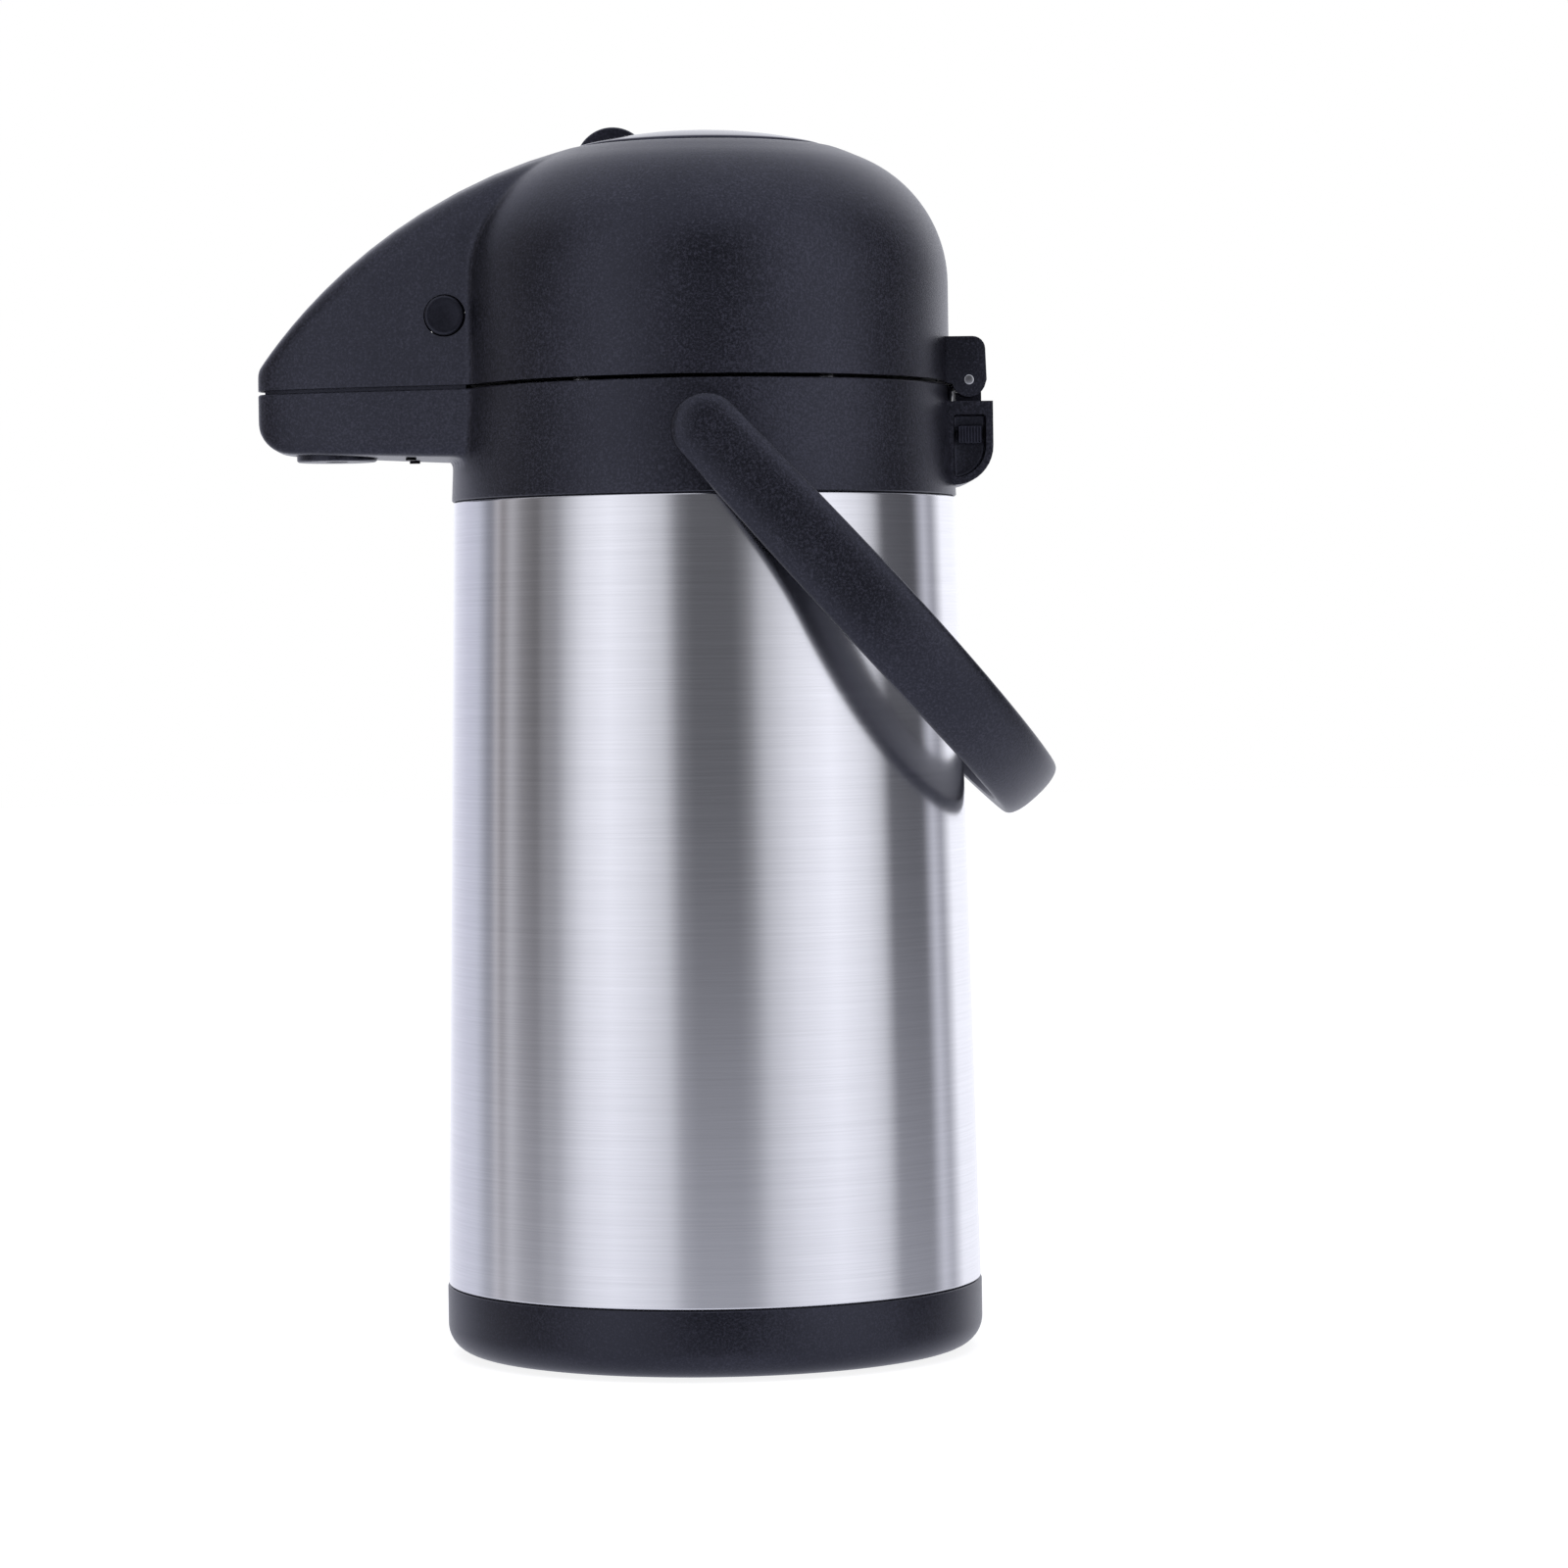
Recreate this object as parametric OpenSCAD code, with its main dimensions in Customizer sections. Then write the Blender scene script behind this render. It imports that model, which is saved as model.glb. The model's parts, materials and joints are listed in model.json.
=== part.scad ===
// Thermal coffee airpot with a hinged pump lid, a pouring bill and a swing handle.
// Frame: millimetres, +Z up, origin at the centre of the foot on the table.
// The bill points along -X and the lid hinge is at +X.

/* [Base and steel body] */
// Radius of the base cup at its rim
cup_r = 75.6; // [75.4:0.1:76.2]
// Height of the base cup's rim above the table
cup_top_z = 19.6; // [18.6:0.2:19.6]
// Radius of the steel jacket just above the base cup
jacket_r_low = 75.3; // [74.8:0.1:75.4]
// Radius of the steel jacket just below the collar
jacket_r_top = 70.8; // [70.4:0.1:71]
// Thickness of the steel sheet
sheet_t = 0.6; // [0.5:0.05:0.7]
// Outer radius of the inner flask
liner_r = 64.6; // [60:0.2:65]
// Outer radius of the flask's neck
neck_r = 37.5; // [37.4:0.1:38]

/* [Collar] */
// Height of the collar's lower edge
collar_z = 240.3; // [239:0.1:241]
// Height of the collar's upper edge
collar_top_z = 271.1; // [270.8:0.1:271.2]
// Outer radius of the collar at its lower edge
collar_r_low = 71.2; // [71.1:0.1:71.6]
// Outer radius of the collar at its upper edge
collar_r_top = 69.7; // [69.5:0.1:69.8]
// Wall thickness of the moulded parts
wall = 2.3; // [2:0.1:2.4]

/* [Lid] */
// Height of the lid's lower edge
lid_z = 271.9; // [271.8:0.1:272.2]
// Outer radius of the dome
dome_r = 69.6; // [69.4:0.1:69.8]
// Radius of the dome's rounded shoulder
shoulder_r = 38; // [37:0.5:39]
// Radius of curvature of the dome's crown
crown_r = 113; // [112:0.5:114]
// Height of the centre of the crown's curve
crown_z = 232.3; // [232:0.1:232.6]

/* [Pouring bill] */
// Distance from the body's axis to the tip of the bill
bill_tip = 125.8; // [124:0.2:126]
// Half width of the bill where it meets the dome
bill_root_w = 28; // [26:0.5:28.5]
// Half width of the bill just behind its nose
bill_nose_w = 21.5; // [21:0.5:26]
// Radius of curvature of the bill's roof
roof_r = 156.1; // [155:0.1:157]
// Distance of the pouring outlet from the body's axis
outlet_x = 103.4; // [100:0.2:105]

/* [Pump] */
// Radius of the push plate
plate_r = 35.2; // [34.8:0.1:35.3]
// Height of the middle of the push plate
plate_top_z = 343.8; // [343.4:0.1:344]
// Number of folds in the bellows
folds = 8; // [6:1:9]

/* [Handle] */
// Height of the handle's pivots
pivot_z = 257.2; // [256:0.1:258]
// Angle of the resting handle below the horizontal
rest_angle = 47.7; // [44:0.1:50]
// Distance from the pivots to the outside of the grip
grip_reach = 138; // [136.5:0.1:140]
// Half the handle's outer width
handle_w = 78.2; // [78:0.1:79]
// Half the clear width between the handle's arms
handle_in_w = 72.7; // [72.6:0.1:73]
// Thickness of the grip
grip_t = 7.5; // [6:0.1:7.5]

/* [Hidden] */
$fn = 96;
plastic = "#33343d";
dark_plastic = "#26262c";
steel = "#c9cacc";
rubber = "#1d1d20";
silicone = "#d9d6cf";
fit = 0.1;                                   // gap between assembled round parts
run = 0.3;                                   // gap round a part that moves

// Base
cup_floor_z = 3;
cup_corner_r = 8;
pad_r = 62;
pad_h = 2.2;
cup_under_z = 0.8;

// Jacket and liner heights
jacket_z = 8;
jacket_floor_z = 11;
jacket_step = 0.5;                           // height of the sloping step at each end of the jacket
jacket_neck_z = 250;
liner_z = 24;
liner_corner_r = 14;
liner_weld_z = 194;                          // weld between the liner's cup and its neck
liner_shoulder_z = 197;
neck_root_z = 226;
getter_r = 9;
getter_t = 2;
jacket_low_in = cup_r - wall - 0.2;          // outside of the jacket inside the cup
jacket_top_in = collar_r_low - wall - 0.6;   // outside of the jacket inside the collar

// Collar inside
deck_z = 255;
deck_t = 2;
deck_hole_r = 41.5;
ring_flange_r = 43.6;
ring_out_r = 40;
ring_in_r = 31;
ring_top_z = 270;

// Handle pivots, as distances from the centre plane
pivot_bore_r = 3.46;
pocket_y = 66;
washer_y = 65.5;
washer_t = 1;
washer_r = 4.8;
pivot_head_t = 2.2;
pivot_head_r = 3.1;
pivot_screw_r = 1.5;
pivot_screw_end = 71.5;

// Bill
bill_root_x = -38.5;                         // where the upper bill starts inside the dome
bill_nose_x = -85;                           // where the nose starts to round off
bill_under_z = 252.3;
bill_under_tip_z = 254;
bill_lip_r = 10;
roof_x = 2.5;
roof_z = 188.1;

// Pouring line
tube_x = -24;
tube_r = 3.5;
pipe_z = 262.5;
pipe_r = 4;
pipe_bore_r = 2.8;
elbow_r = 4.8;
elbow_pipe_r = 5.3;                          // outside of the elbow's level arm
elbow_end_x = -50;
socket_depth = 8;
seal_r = 5.4;
seal_t = 1.1;
cage_r = 6.8;
cage_bore_r = 5;
cage_z = 232;
cage_top_z = 256;
dip_tube_z = 30;
dip_tube_top_z = 236;
dip_tube_t = 0.8;
ball_r = 4;
ball_z = 241.1;
clamp_x = -82;
clamp_half = 4;
clamp_w = 15;
clamp_z = 255.2;
clamp_t = 3.2;
clamp_screw_y = 12;
nozzle_z = 252.1;
nozzle_flange_r = 11.25;
nozzle_flange_t = 2;
nozzle_tube_r = 7;
nozzle_top_z = 258;
nozzle_bore_r = 3.2;
nozzle_seat_z = 253.3;                       // step inside the nozzle that the pipe rests on

// Lid inside
pump_base_z = 272.4;
pump_base_t = 2.6;
pump_top_z = pump_base_z + pump_base_t;
pump_base_r = 66.4;
well_r = plate_r + 0.5;
well_wall = 2.2;
well_z = 296;
post_r = 52;
post_w = 4;
post_top_z = 327;
post_angles = [50, 130, 230, 310];
gasket_in_r = 33.2;
gasket_out_r = 38.8;
gasket_groove = 0.8;
bellows_top_z = 327;
skirt_t = 1.8;
skirt_z = 326;
plate_t = 2.4;
plate_curve_r = 142;
carrier_t = 2.5;
carrier_tube_r = 14;
carrier_tube_t = 2.5;
carrier_top_z = 340.4;
bellows_r = 31.4;
bellows_root_r = 27;
bellows_t = 1;

// Lock fin
fin_x = -24.5;
fin_r = 10.5;
fin_z = 334.9;
fin_t = 3.2;
fin_stem_half = 1.5;
tongue_z = 334.6;
tongue_half = 3;
tongue_gap = 0.4;

// Latch buttons
button_x = -71.6;
button_z = 291.4;
button_r = 5.4;
button_proud = 1.8;
hook_z = 262;                                // lower end of the latch hooks
latch_half = 3;
latch_in_y = 17;
latch_out_y = 19;
hook_y = 21.5;
hook_t = 1.6;
latch_post_y = 4.5;                          // half width of the middle post
latch_post_z = 285;
latch_post_top_z = 321;

// Rear hinge
hinge_x = 74.4;
hinge_z = 272.4;
hinge_pin_r = 1.45;
ear_w = 15;
link_w = 8.8;
house_w = 16;
house_x = 81;
house_top_z = 266.4;
bracket_top_z = 284.6;
bracket_x = 79.2;
bracket_corner_r = 3.6;
house_round_x = 70;
house_round_z = 254;
house_recess_y = 12.2;
link_channel = [70.7, 78.5];
tab_z = 257;
tab_x = 74.45;
tab_ribs = 8;
tab_rib_pitch = 0.84;
tab_rib_t = 0.5;
tab_stem = [72.5, 76.5];
tab_stem_half_z = 1.8;

// Handle
stub_r = 3.4;
boss_r = 8.5;
strap_half = 9.6;
strap_swell = 1;                             // how much wider the strap is in its middle

function arc(cx, cy, r, a0, a1, n) =
    [for (i = [0 : n]) let (a = a0 + (a1 - a0) * i / n) [cx + r * cos(a), cy + r * sin(a)]];

function lerp(a, b, t) = a + (b - a) * t;

// Half width of the bill at a place along it
function bill_straight(x) =
    lerp(bill_root_w, bill_nose_w, max(0, (-60 - x) / (-60 - bill_nose_x)));
function bill_half(x) =
    bill_straight(x) * pow(max(0, 1 - pow(max(0, bill_nose_x - x) / (bill_tip + bill_nose_x), 3)), 1 / 3);

// Half section of the dome, its skin moved inwards by inset
function dome_points(inset, z0) =
    let (cx = dome_r - shoulder_r,
         cz = crown_z + sqrt(pow(crown_r - shoulder_r, 2) - cx * cx),
         a = atan2(cz - crown_z, cx))
    concat([[0, z0], [dome_r - inset, z0]],
           arc(cx, cz, shoulder_r - inset, 0, a, 10),
           arc(0, crown_z, crown_r - inset, a + 4, 90, 6));

// A ring about the vertical axis
module ring(r_out, r_in, z0, z1) {
    translate([0, 0, z0]) difference() {
        cylinder(r = r_out, h = z1 - z0);
        translate([0, 0, -1]) cylinder(r = r_in, h = z1 - z0 + 2);
    }
}

// A box from one corner to the other
module box(lo, hi) translate(lo) cube(hi - lo);

// A cylinder along Y between two places
module cyl_y(x, z, r, y0, y1) translate([x, y1, z]) rotate([90, 0, 0]) cylinder(r = r, h = y1 - y0);

// A cylinder along X between two places, on the centre plane
module cyl_x(x0, x1, z, r) translate([x0, 0, z]) rotate([0, 90, 0]) cylinder(r = r, h = x1 - x0);

// What follows, and its mirror image on the other side of the bill's plane
module both_sides() for (s = [-1, 1]) scale([1, s, 1]) children();

// An outline in the X-Z plane, extruded between two places along Y
module slab(y0, y1) translate([0, y1, 0]) rotate([90, 0, 0]) linear_extrude(y1 - y0) children();

// A round wire that climbs along Z, as a closed tube of rings
module coil(r, wire_r, z0, z1, turns, steps, sides) {
    n = turns * steps;
    pts = [for (i = [0 : n], j = [0 : sides - 1])
        let (a = 360 * i / steps, b = 360 * j / sides, q = r + wire_r * cos(b))
        [q * cos(a), q * sin(a), lerp(z0 + wire_r, z1 - wire_r, i / n) + wire_r * sin(b)]];
    skin = [for (i = [0 : n - 1], j = [0 : sides - 1])
        [i * sides + j, (i + 1) * sides + j,
         (i + 1) * sides + (j + 1) % sides, i * sides + (j + 1) % sides]];
    ends = [[for (j = [0 : sides - 1]) j],
            [for (j = [sides - 1 : -1 : 0]) n * sides + j]];
    polyhedron(pts, concat(skin, ends));
}

// ---- Base and vacuum flask ----

// Outline of the cup, rounded where it meets the table
module cup_half(r, z0, corner) {
    polygon(concat([[0, z0]], arc(r - corner, z0 + corner, corner, -90, 0, 6),
        [[r, cup_top_z], [0, cup_top_z]]));
}

module base_cup() color(plastic) difference() {
    rotate_extrude() cup_half(cup_r, cup_under_z, cup_corner_r);
    translate([0, 0, 0.01]) rotate_extrude() cup_half(cup_r - wall, cup_floor_z, cup_corner_r - wall);
    cylinder(r = pad_r + fit, h = pad_h);
}

module foot_pad() color(rubber) difference() {
    cylinder(r = pad_r, h = pad_h);
    translate([0, 0, -1]) ring(pad_r - 8, pad_r - 10, 0, 2);
}

// Steel jacket, stepped in where the cup and the collar cover it
module outer_shell() color(steel) rotate_extrude() polygon([
    [jacket_low_in - sheet_t, jacket_z], [jacket_low_in, jacket_z],
    [jacket_low_in, cup_top_z + fit], [jacket_r_low, cup_top_z + fit + jacket_step],
    [jacket_r_top, collar_z - fit - jacket_step], [jacket_top_in, collar_z - fit],
    [jacket_top_in, jacket_neck_z], [jacket_top_in - sheet_t, jacket_neck_z],
    [jacket_top_in - sheet_t, collar_z - 0.4], [jacket_r_top - sheet_t, collar_z - 0.4 - jacket_step],
    [jacket_r_low - sheet_t, cup_top_z + 0.4 + jacket_step], [jacket_low_in - sheet_t, cup_top_z + 0.4]]);

module jacket_bottom() color(steel) {
    r = jacket_low_in - sheet_t - fit;
    difference() {
        ring(r, 3, jacket_z, jacket_floor_z);
        translate([0, 0, jacket_z - 1]) cylinder(r = r - sheet_t,
            h = jacket_floor_z - jacket_z + 1 - sheet_t);
    }
}

module getter_cap() color(steel)
    translate([0, 0, jacket_floor_z - sheet_t - getter_t]) cylinder(r = getter_r, h = getter_t);

// Outline of the liner, its wall moved inwards by inset
module liner_half(inset) {
    r = liner_r - inset;
    z0 = liner_z + inset;
    c = liner_corner_r - inset;
    polygon(concat([[0, z0]], arc(r - c, z0 + c, c, -90, 0, 6),
        [[r, liner_shoulder_z], [neck_r - inset, neck_root_z],
         [neck_r - inset, jacket_neck_z + inset], [0, jacket_neck_z + inset]]));
}

module liner_wall() difference() {
    liner_half(0);
    liner_half(sheet_t);
}

module inner_flask() color(steel) rotate_extrude() intersection() {
    liner_wall();
    square([liner_r + 1, liner_weld_z]);
}

module flask_neck() color(steel) rotate_extrude() difference() {
    liner_wall();
    square([liner_r + 1, liner_weld_z]);
}

// Top of the vacuum jacket, welded to the flask's neck
module jacket_shoulder() color(steel) rotate_extrude() {
    r = jacket_top_in - sheet_t - fit;
    lip = neck_r + fit;
    top = jacket_neck_z;
    polygon([[r - sheet_t, top - 7], [r, top - 7], [r, top - 3], [r - 2, top - 1.2], [44, top], [lip, top],
        [lip, top - 6], [lip + sheet_t, top - 6], [lip + sheet_t, top - sheet_t], [44, top - sheet_t],
        [r - 2.4, top - 1.8], [r - sheet_t, top - 3.3]]);
}

// ---- Bill outlines ----

module bill_plan(inset, x_end) {
    tip = -bill_tip + inset;
    n = 12;
    xs = [for (i = [0 : n]) tip + (bill_nose_x - tip) * (1 - cos(90 * i / n))];
    // the inner outline keeps its distance from the outer one
    side = [for (x = xs) [x, max(0, bill_half(x - inset * (bill_nose_x - x) / 41) - inset * 0.85)]];
    back = [[-60, bill_root_w - inset], [x_end, bill_root_w - inset]];
    half = concat(side, back);
    polygon(concat(half, [for (i = [len(half) - 1 : -1 : 1]) [half[i][0], -half[i][1]]]));
}

// Side outline of the lower bill, its skin moved inwards by inset
module bill_low_side(inset, z1) {
    r = bill_lip_r - inset;
    cx = -bill_tip + bill_lip_r;
    cz = bill_under_tip_z + bill_lip_r;
    polygon(concat([[-bill_tip + inset, z1]], arc(cx, cz, r, 180, 270, 6),
        [[-72, bill_under_z + inset], [-60, bill_under_z + inset], [-60, z1]]));
}

// ---- Collar ----

module collar_half(inset, z0, z1) {
    drop = (collar_r_low - collar_r_top) / (collar_top_z - collar_z);
    r0 = collar_r_low - inset - (z0 - collar_z) * drop;
    r1 = collar_r_low - inset - (z1 - collar_z) * drop;
    polygon([[0, z0], [r0, z0], [r1, z1], [0, z1]]);
}

// Side outline of the rear hinge housing, moved inwards by inset
module house_side(inset, x0, top) {
    r = house_x - house_round_x - inset;
    polygon(concat([[x0, top], [x0, house_round_z - r]], arc(house_round_x, house_round_z, r, -90, 0, 8),
        [[house_x - inset, top]]));
}

module collar_body() {
    difference() {
        union() {
            rotate_extrude() collar_half(0, collar_z, collar_top_z);
            intersection() {
                slab(-40, 40) bill_low_side(0, collar_top_z);
                translate([0, 0, 250]) linear_extrude(30) bill_plan(0, -60);
            }
            slab(-house_w, house_w) house_side(0, 60, house_top_z);
            // web that closes the gap in front of the hinge link
            box([60, -link_w - 0.2, house_top_z - 1],
                [link_channel[0] - 0.8, link_w + 0.2, collar_top_z - 0.3]);
            both_sides() cyl_y(0, pivot_z, boss_r, 60, handle_in_w - run);
        }
        // open inside, above and below the deck
        rotate_extrude() collar_half(wall, collar_z - 1, deck_z);
        rotate_extrude() collar_half(wall, deck_z + deck_t, collar_top_z + 1);
        translate([0, 0, deck_z - 1]) cylinder(r = deck_hole_r, h = deck_t + 2);
        intersection() {
            slab(-40, 40) bill_low_side(wall, collar_top_z + 1);
            translate([0, 0, 250]) linear_extrude(30) bill_plan(wall, -45);
            box([-130, -40, 250], [-60, 40, 280]);
        }
        // way for the pipe through the front wall
        box([-72, -22, deck_z + deck_t], [-55, 22, collar_top_z + 1]);
    }
    // ledges that the latch hooks catch under
    both_sides() box([button_x - latch_half - run, latch_out_y + 0.9, hook_z + 2.2],
        [button_x + latch_half + run, bill_straight(button_x) - 1.5, hook_z + 3.8]);
    // inside pads of the two pivots
    both_sides() difference() {
        cyl_y(0, pivot_z, boss_r, pocket_y, 69);
        box([-boss_r, 60, 240], [boss_r, 70, jacket_neck_z + 0.6]);
    }
}

module collar() color(plastic) difference() {
    collar_body();
    both_sides() {
        // pivot bore and the pocket for its washer and screw
        cyl_y(0, pivot_z, pivot_bore_r, 60, 80);
        box([-9, 58, jacket_neck_z + 0.5], [9, pocket_y, 268]);
        // side recess of the hinge housing and the hole for the tab's stem
        slab(house_recess_y, house_w + 1) house_side(2, 69.9, 262.7);
        box([tab_stem[0] - run, 8, tab_z - tab_stem_half_z - run],
            [tab_stem[1] + run, 14, tab_z + tab_stem_half_z + run]);
        // holes of the pipe clamp's screws
        translate([clamp_x, clamp_screw_y, 245]) cylinder(r = 1.6, h = 12);
    }
    // channel for the hinge link
    box([link_channel[0], -link_w - run, 250], [link_channel[1], link_w + run, house_top_z + 1]);
    // seat and hole of the outlet nozzle
    translate([-outlet_x, 0, 240]) cylinder(r = nozzle_flange_r + 0.35,
        h = nozzle_z + nozzle_flange_t + fit - 240);
    translate([-outlet_x, 0, 240]) cylinder(r = nozzle_tube_r + 0.2, h = 20);
}

// ---- Pouring line ----

module mouth_seal() color(silicone) ring(43, 38.6, jacket_neck_z, jacket_neck_z + 2);

module mouth_ring() color(dark_plastic) difference() {
    union() {
        ring(neck_r - sheet_t - 0.3, ring_in_r, 238, 253);
        ring(ring_flange_r, ring_in_r, jacket_neck_z + 2, deck_z);
        ring(ring_out_r, ring_in_r, deck_z - 1, ring_top_z);
    }
    cyl_x(elbow_end_x, -25, pipe_z, elbow_pipe_r + 0.5);
}

module dip_tube() color(steel)
    translate([tube_x, 0, 0]) ring(tube_r, tube_r - dip_tube_t, dip_tube_z, dip_tube_top_z);

// Cage of the tip-over valve, open to the flask only through the tube
module valve_cage() color(dark_plastic) translate([tube_x, 0, 0]) difference() {
    translate([0, 0, cage_z]) cylinder(r = cage_r, h = cage_top_z - cage_z);
    translate([0, 0, cage_z - 1]) cylinder(r = tube_r + fit, h = dip_tube_top_z - cage_z + 1);
    translate([0, 0, cage_z]) cylinder(r = 2.6, h = 10);
    translate([0, 0, dip_tube_top_z + 2]) cylinder(r = cage_bore_r, h = 30);
}

module valve_ball() color(steel) translate([tube_x, 0, ball_z]) sphere(r = ball_r);

// Hollow elbow from the valve to the pipe
module siphon_elbow() color(dark_plastic) difference() {
    union() {
        translate([tube_x, 0, 251]) cylinder(r = elbow_r, h = pipe_z - 251);
        translate([tube_x, 0, pipe_z]) sphere(r = elbow_r);
        cyl_x(elbow_end_x, tube_x, pipe_z, elbow_pipe_r);
    }
    translate([tube_x, 0, 250]) cylinder(r = pipe_bore_r, h = pipe_z - 250);
    cyl_x(elbow_end_x - 1, tube_x, pipe_z, pipe_bore_r);
    cyl_x(elbow_end_x - 1, elbow_end_x + socket_depth, pipe_z, pipe_r + fit);
}

module pipe_seals() color(silicone) {
    translate([tube_x, 0, 0]) ring(cage_r, elbow_r + fit, cage_top_z, cage_top_z + seal_t);
    translate([elbow_end_x - fit, 0, pipe_z]) rotate([0, -90, 0]) ring(seal_r, pipe_r + 0.05, 0, 1.8);
}

module delivery_pipe() color(silicone) difference() {
    end = elbow_end_x + socket_depth - 0.2;
    union() {
        cyl_x(-outlet_x, end, pipe_z, pipe_r);
        translate([-outlet_x, 0, pipe_z]) sphere(r = pipe_r);
        translate([-outlet_x, 0, nozzle_seat_z + fit]) cylinder(r = pipe_r, h = pipe_z - nozzle_seat_z - fit);
    }
    cyl_x(-outlet_x, end + 1, pipe_z, pipe_bore_r);
    translate([-outlet_x, 0, 250]) cylinder(r = pipe_bore_r, h = pipe_z - 250);
}

// Saddle that holds the pipe down on the bill's floor
module pipe_clamp() color(dark_plastic) difference() {
    x0 = clamp_x - clamp_half;
    x1 = clamp_x + clamp_half;
    union() {
        box([x0, -clamp_w, clamp_z], [x1, clamp_w, clamp_z + clamp_t]);
        intersection() {
            cyl_x(x0, x1, pipe_z, pipe_r + 2.2);
            box([x0, -10, clamp_z], [x1, 10, 269]);
        }
    }
    cyl_x(x0 - 1, x1 + 1, pipe_z, pipe_r + fit);
    both_sides() translate([clamp_x, clamp_screw_y, 250]) cylinder(r = 1.3, h = 12);
}

module clamp_screws() color(steel) both_sides() translate([clamp_x, clamp_screw_y, 0]) {
    translate([0, 0, 251.9]) cylinder(r = 1.5, h = 0.7);
    translate([0, 0, 252]) cylinder(r = 1.2, h = 6);
}

module outlet_nozzle() color(plastic) translate([-outlet_x, 0, 0]) difference() {
    union() {
        translate([0, 0, nozzle_z]) cylinder(r = nozzle_flange_r, h = nozzle_flange_t);
        translate([0, 0, nozzle_z + 1]) cylinder(r = nozzle_tube_r, h = nozzle_top_z - nozzle_z - 1);
    }
    translate([0, 0, nozzle_seat_z]) cylinder(r = pipe_r + fit, h = 6);
    translate([0, 0, nozzle_z - 1]) cylinder(r = nozzle_bore_r, h = 4);
}

// ---- Rear hinge ----

module hinge_link() color(dark_plastic) difference() {
    union() {
        cyl_y(hinge_x, hinge_z, 4.4, -link_w, link_w);
        box([71, -link_w, 250.3], [78.2, link_w, hinge_z]);
    }
    cyl_y(hinge_x, hinge_z, hinge_pin_r + 0.01, -20, 20);
    // sockets that the release tabs' stems hold
    both_sides() box([tab_stem[0] - 0.5, 6.6, tab_z - 2.4], [tab_stem[1] + 0.5, link_w + 1, tab_z + 2.4]);
}

module hinge_pin() color(steel) cyl_y(hinge_x, hinge_z, hinge_pin_r, -ear_w - 0.4, ear_w + 0.4);

// Ribbed push tab with the stem that holds the link
module release_tab(side) color(dark_plastic) scale([1, side, 1]) {
    box([tab_x - 3.35, 14.4, tab_z - 2.5], [tab_x + 3.35, 15.5, tab_z + 2.5]);
    for (i = [0 : tab_ribs - 1]) {
        x = tab_x - 3.2 + i * tab_rib_pitch;
        box([x, 15.4, tab_z - 2.4], [x + tab_rib_t, house_w, tab_z + 2.4]);
    }
    box([tab_stem[0], 9, tab_z - tab_stem_half_z], [tab_stem[1], 14.5, tab_z + tab_stem_half_z]);
}

module release_tab_left() release_tab(1);
module release_tab_right() release_tab(-1);

// ---- Lid ----

// The bill's upper half, its skin moved inwards by inset
module upper_bill(inset, z0, x_end) intersection() {
    translate([roof_x, 0, roof_z]) sphere(r = roof_r - inset, $fn = 180);
    translate([0, 0, z0]) linear_extrude(80) bill_plan(inset, x_end);
}

// Side outline of the hinge bracket
module bracket_side() {
    corner_x = bracket_x - bracket_corner_r;
    corner_z = bracket_top_z - bracket_corner_r;
    translate([60, hinge_z]) square([bracket_x - 60, corner_z - hinge_z]);
    translate([60, corner_z - 1]) square([corner_x - 60, bracket_corner_r + 1]);
    translate([corner_x, corner_z]) circle(r = bracket_corner_r);
    translate([hinge_x, hinge_z]) circle(r = 4.8);
}

module lid_body() {
    difference() {
        union() {
            rotate_extrude() polygon(dome_points(0, lid_z));
            upper_bill(0, lid_z, bill_root_x);
            slab(-ear_w, ear_w) bracket_side();
        }
        rotate_extrude() polygon(dome_points(wall, lid_z - 1));
        upper_bill(wall, lid_z - 1, bill_root_x - 3);
        // room for the hinge link between the ears
        box([69.8, -link_w - run, 260], [90, link_w + run, 277.8]);
    }
    // guide well of the push plate
    intersection() {
        ring(well_r + well_wall, well_r, well_z, 345);
        rotate_extrude() polygon(dome_points(0.2, lid_z));
    }
    // screw posts
    for (a = post_angles) rotate(a) translate([post_r, 0, pump_top_z])
        cylinder(r = post_w, h = post_top_z - pump_top_z);
    // middle post that the latch springs push on
    box([button_x - latch_half, -latch_post_y, latch_post_z],
        [button_x + latch_half, latch_post_y, latch_post_top_z]);
}

module lid() color(plastic) difference() {
    lid_body();
    translate([0, 0, 300]) cylinder(r = well_r, h = 60);
    for (a = post_angles) rotate(a) translate([post_r, 0, pump_top_z - 1]) cylinder(r = 1.4, h = 16);
    cyl_y(hinge_x, hinge_z, hinge_pin_r + 0.06, -20, 20);
    both_sides() cyl_y(button_x, button_z, button_r + run, 14, 40);
    // slot of the lock's tongue, with a ledge left across it
    w = tongue_half + tongue_gap;
    box([-well_r - 3, -w, well_z - 1], [-well_r + 2, w, tongue_z - 2.6]);
    box([-well_r - 3, -w, tongue_z - 0.5], [-well_r + 2, w, tongue_z + 2.2]);
}

module pump_base() color(dark_plastic) difference() {
    translate([0, 0, pump_base_z]) cylinder(r = pump_base_r, h = pump_base_t);
    translate([0, 0, pump_base_z - 1]) cylinder(r = 7, h = pump_base_t + 2);
    for (a = post_angles) rotate(a) translate([post_r, 0, pump_base_z - 1]) cylinder(r = 1.8, h = 6);
    ring(gasket_out_r + 0.2, gasket_in_r - 0.2, pump_base_z - 1, pump_base_z + gasket_groove);
}

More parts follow.
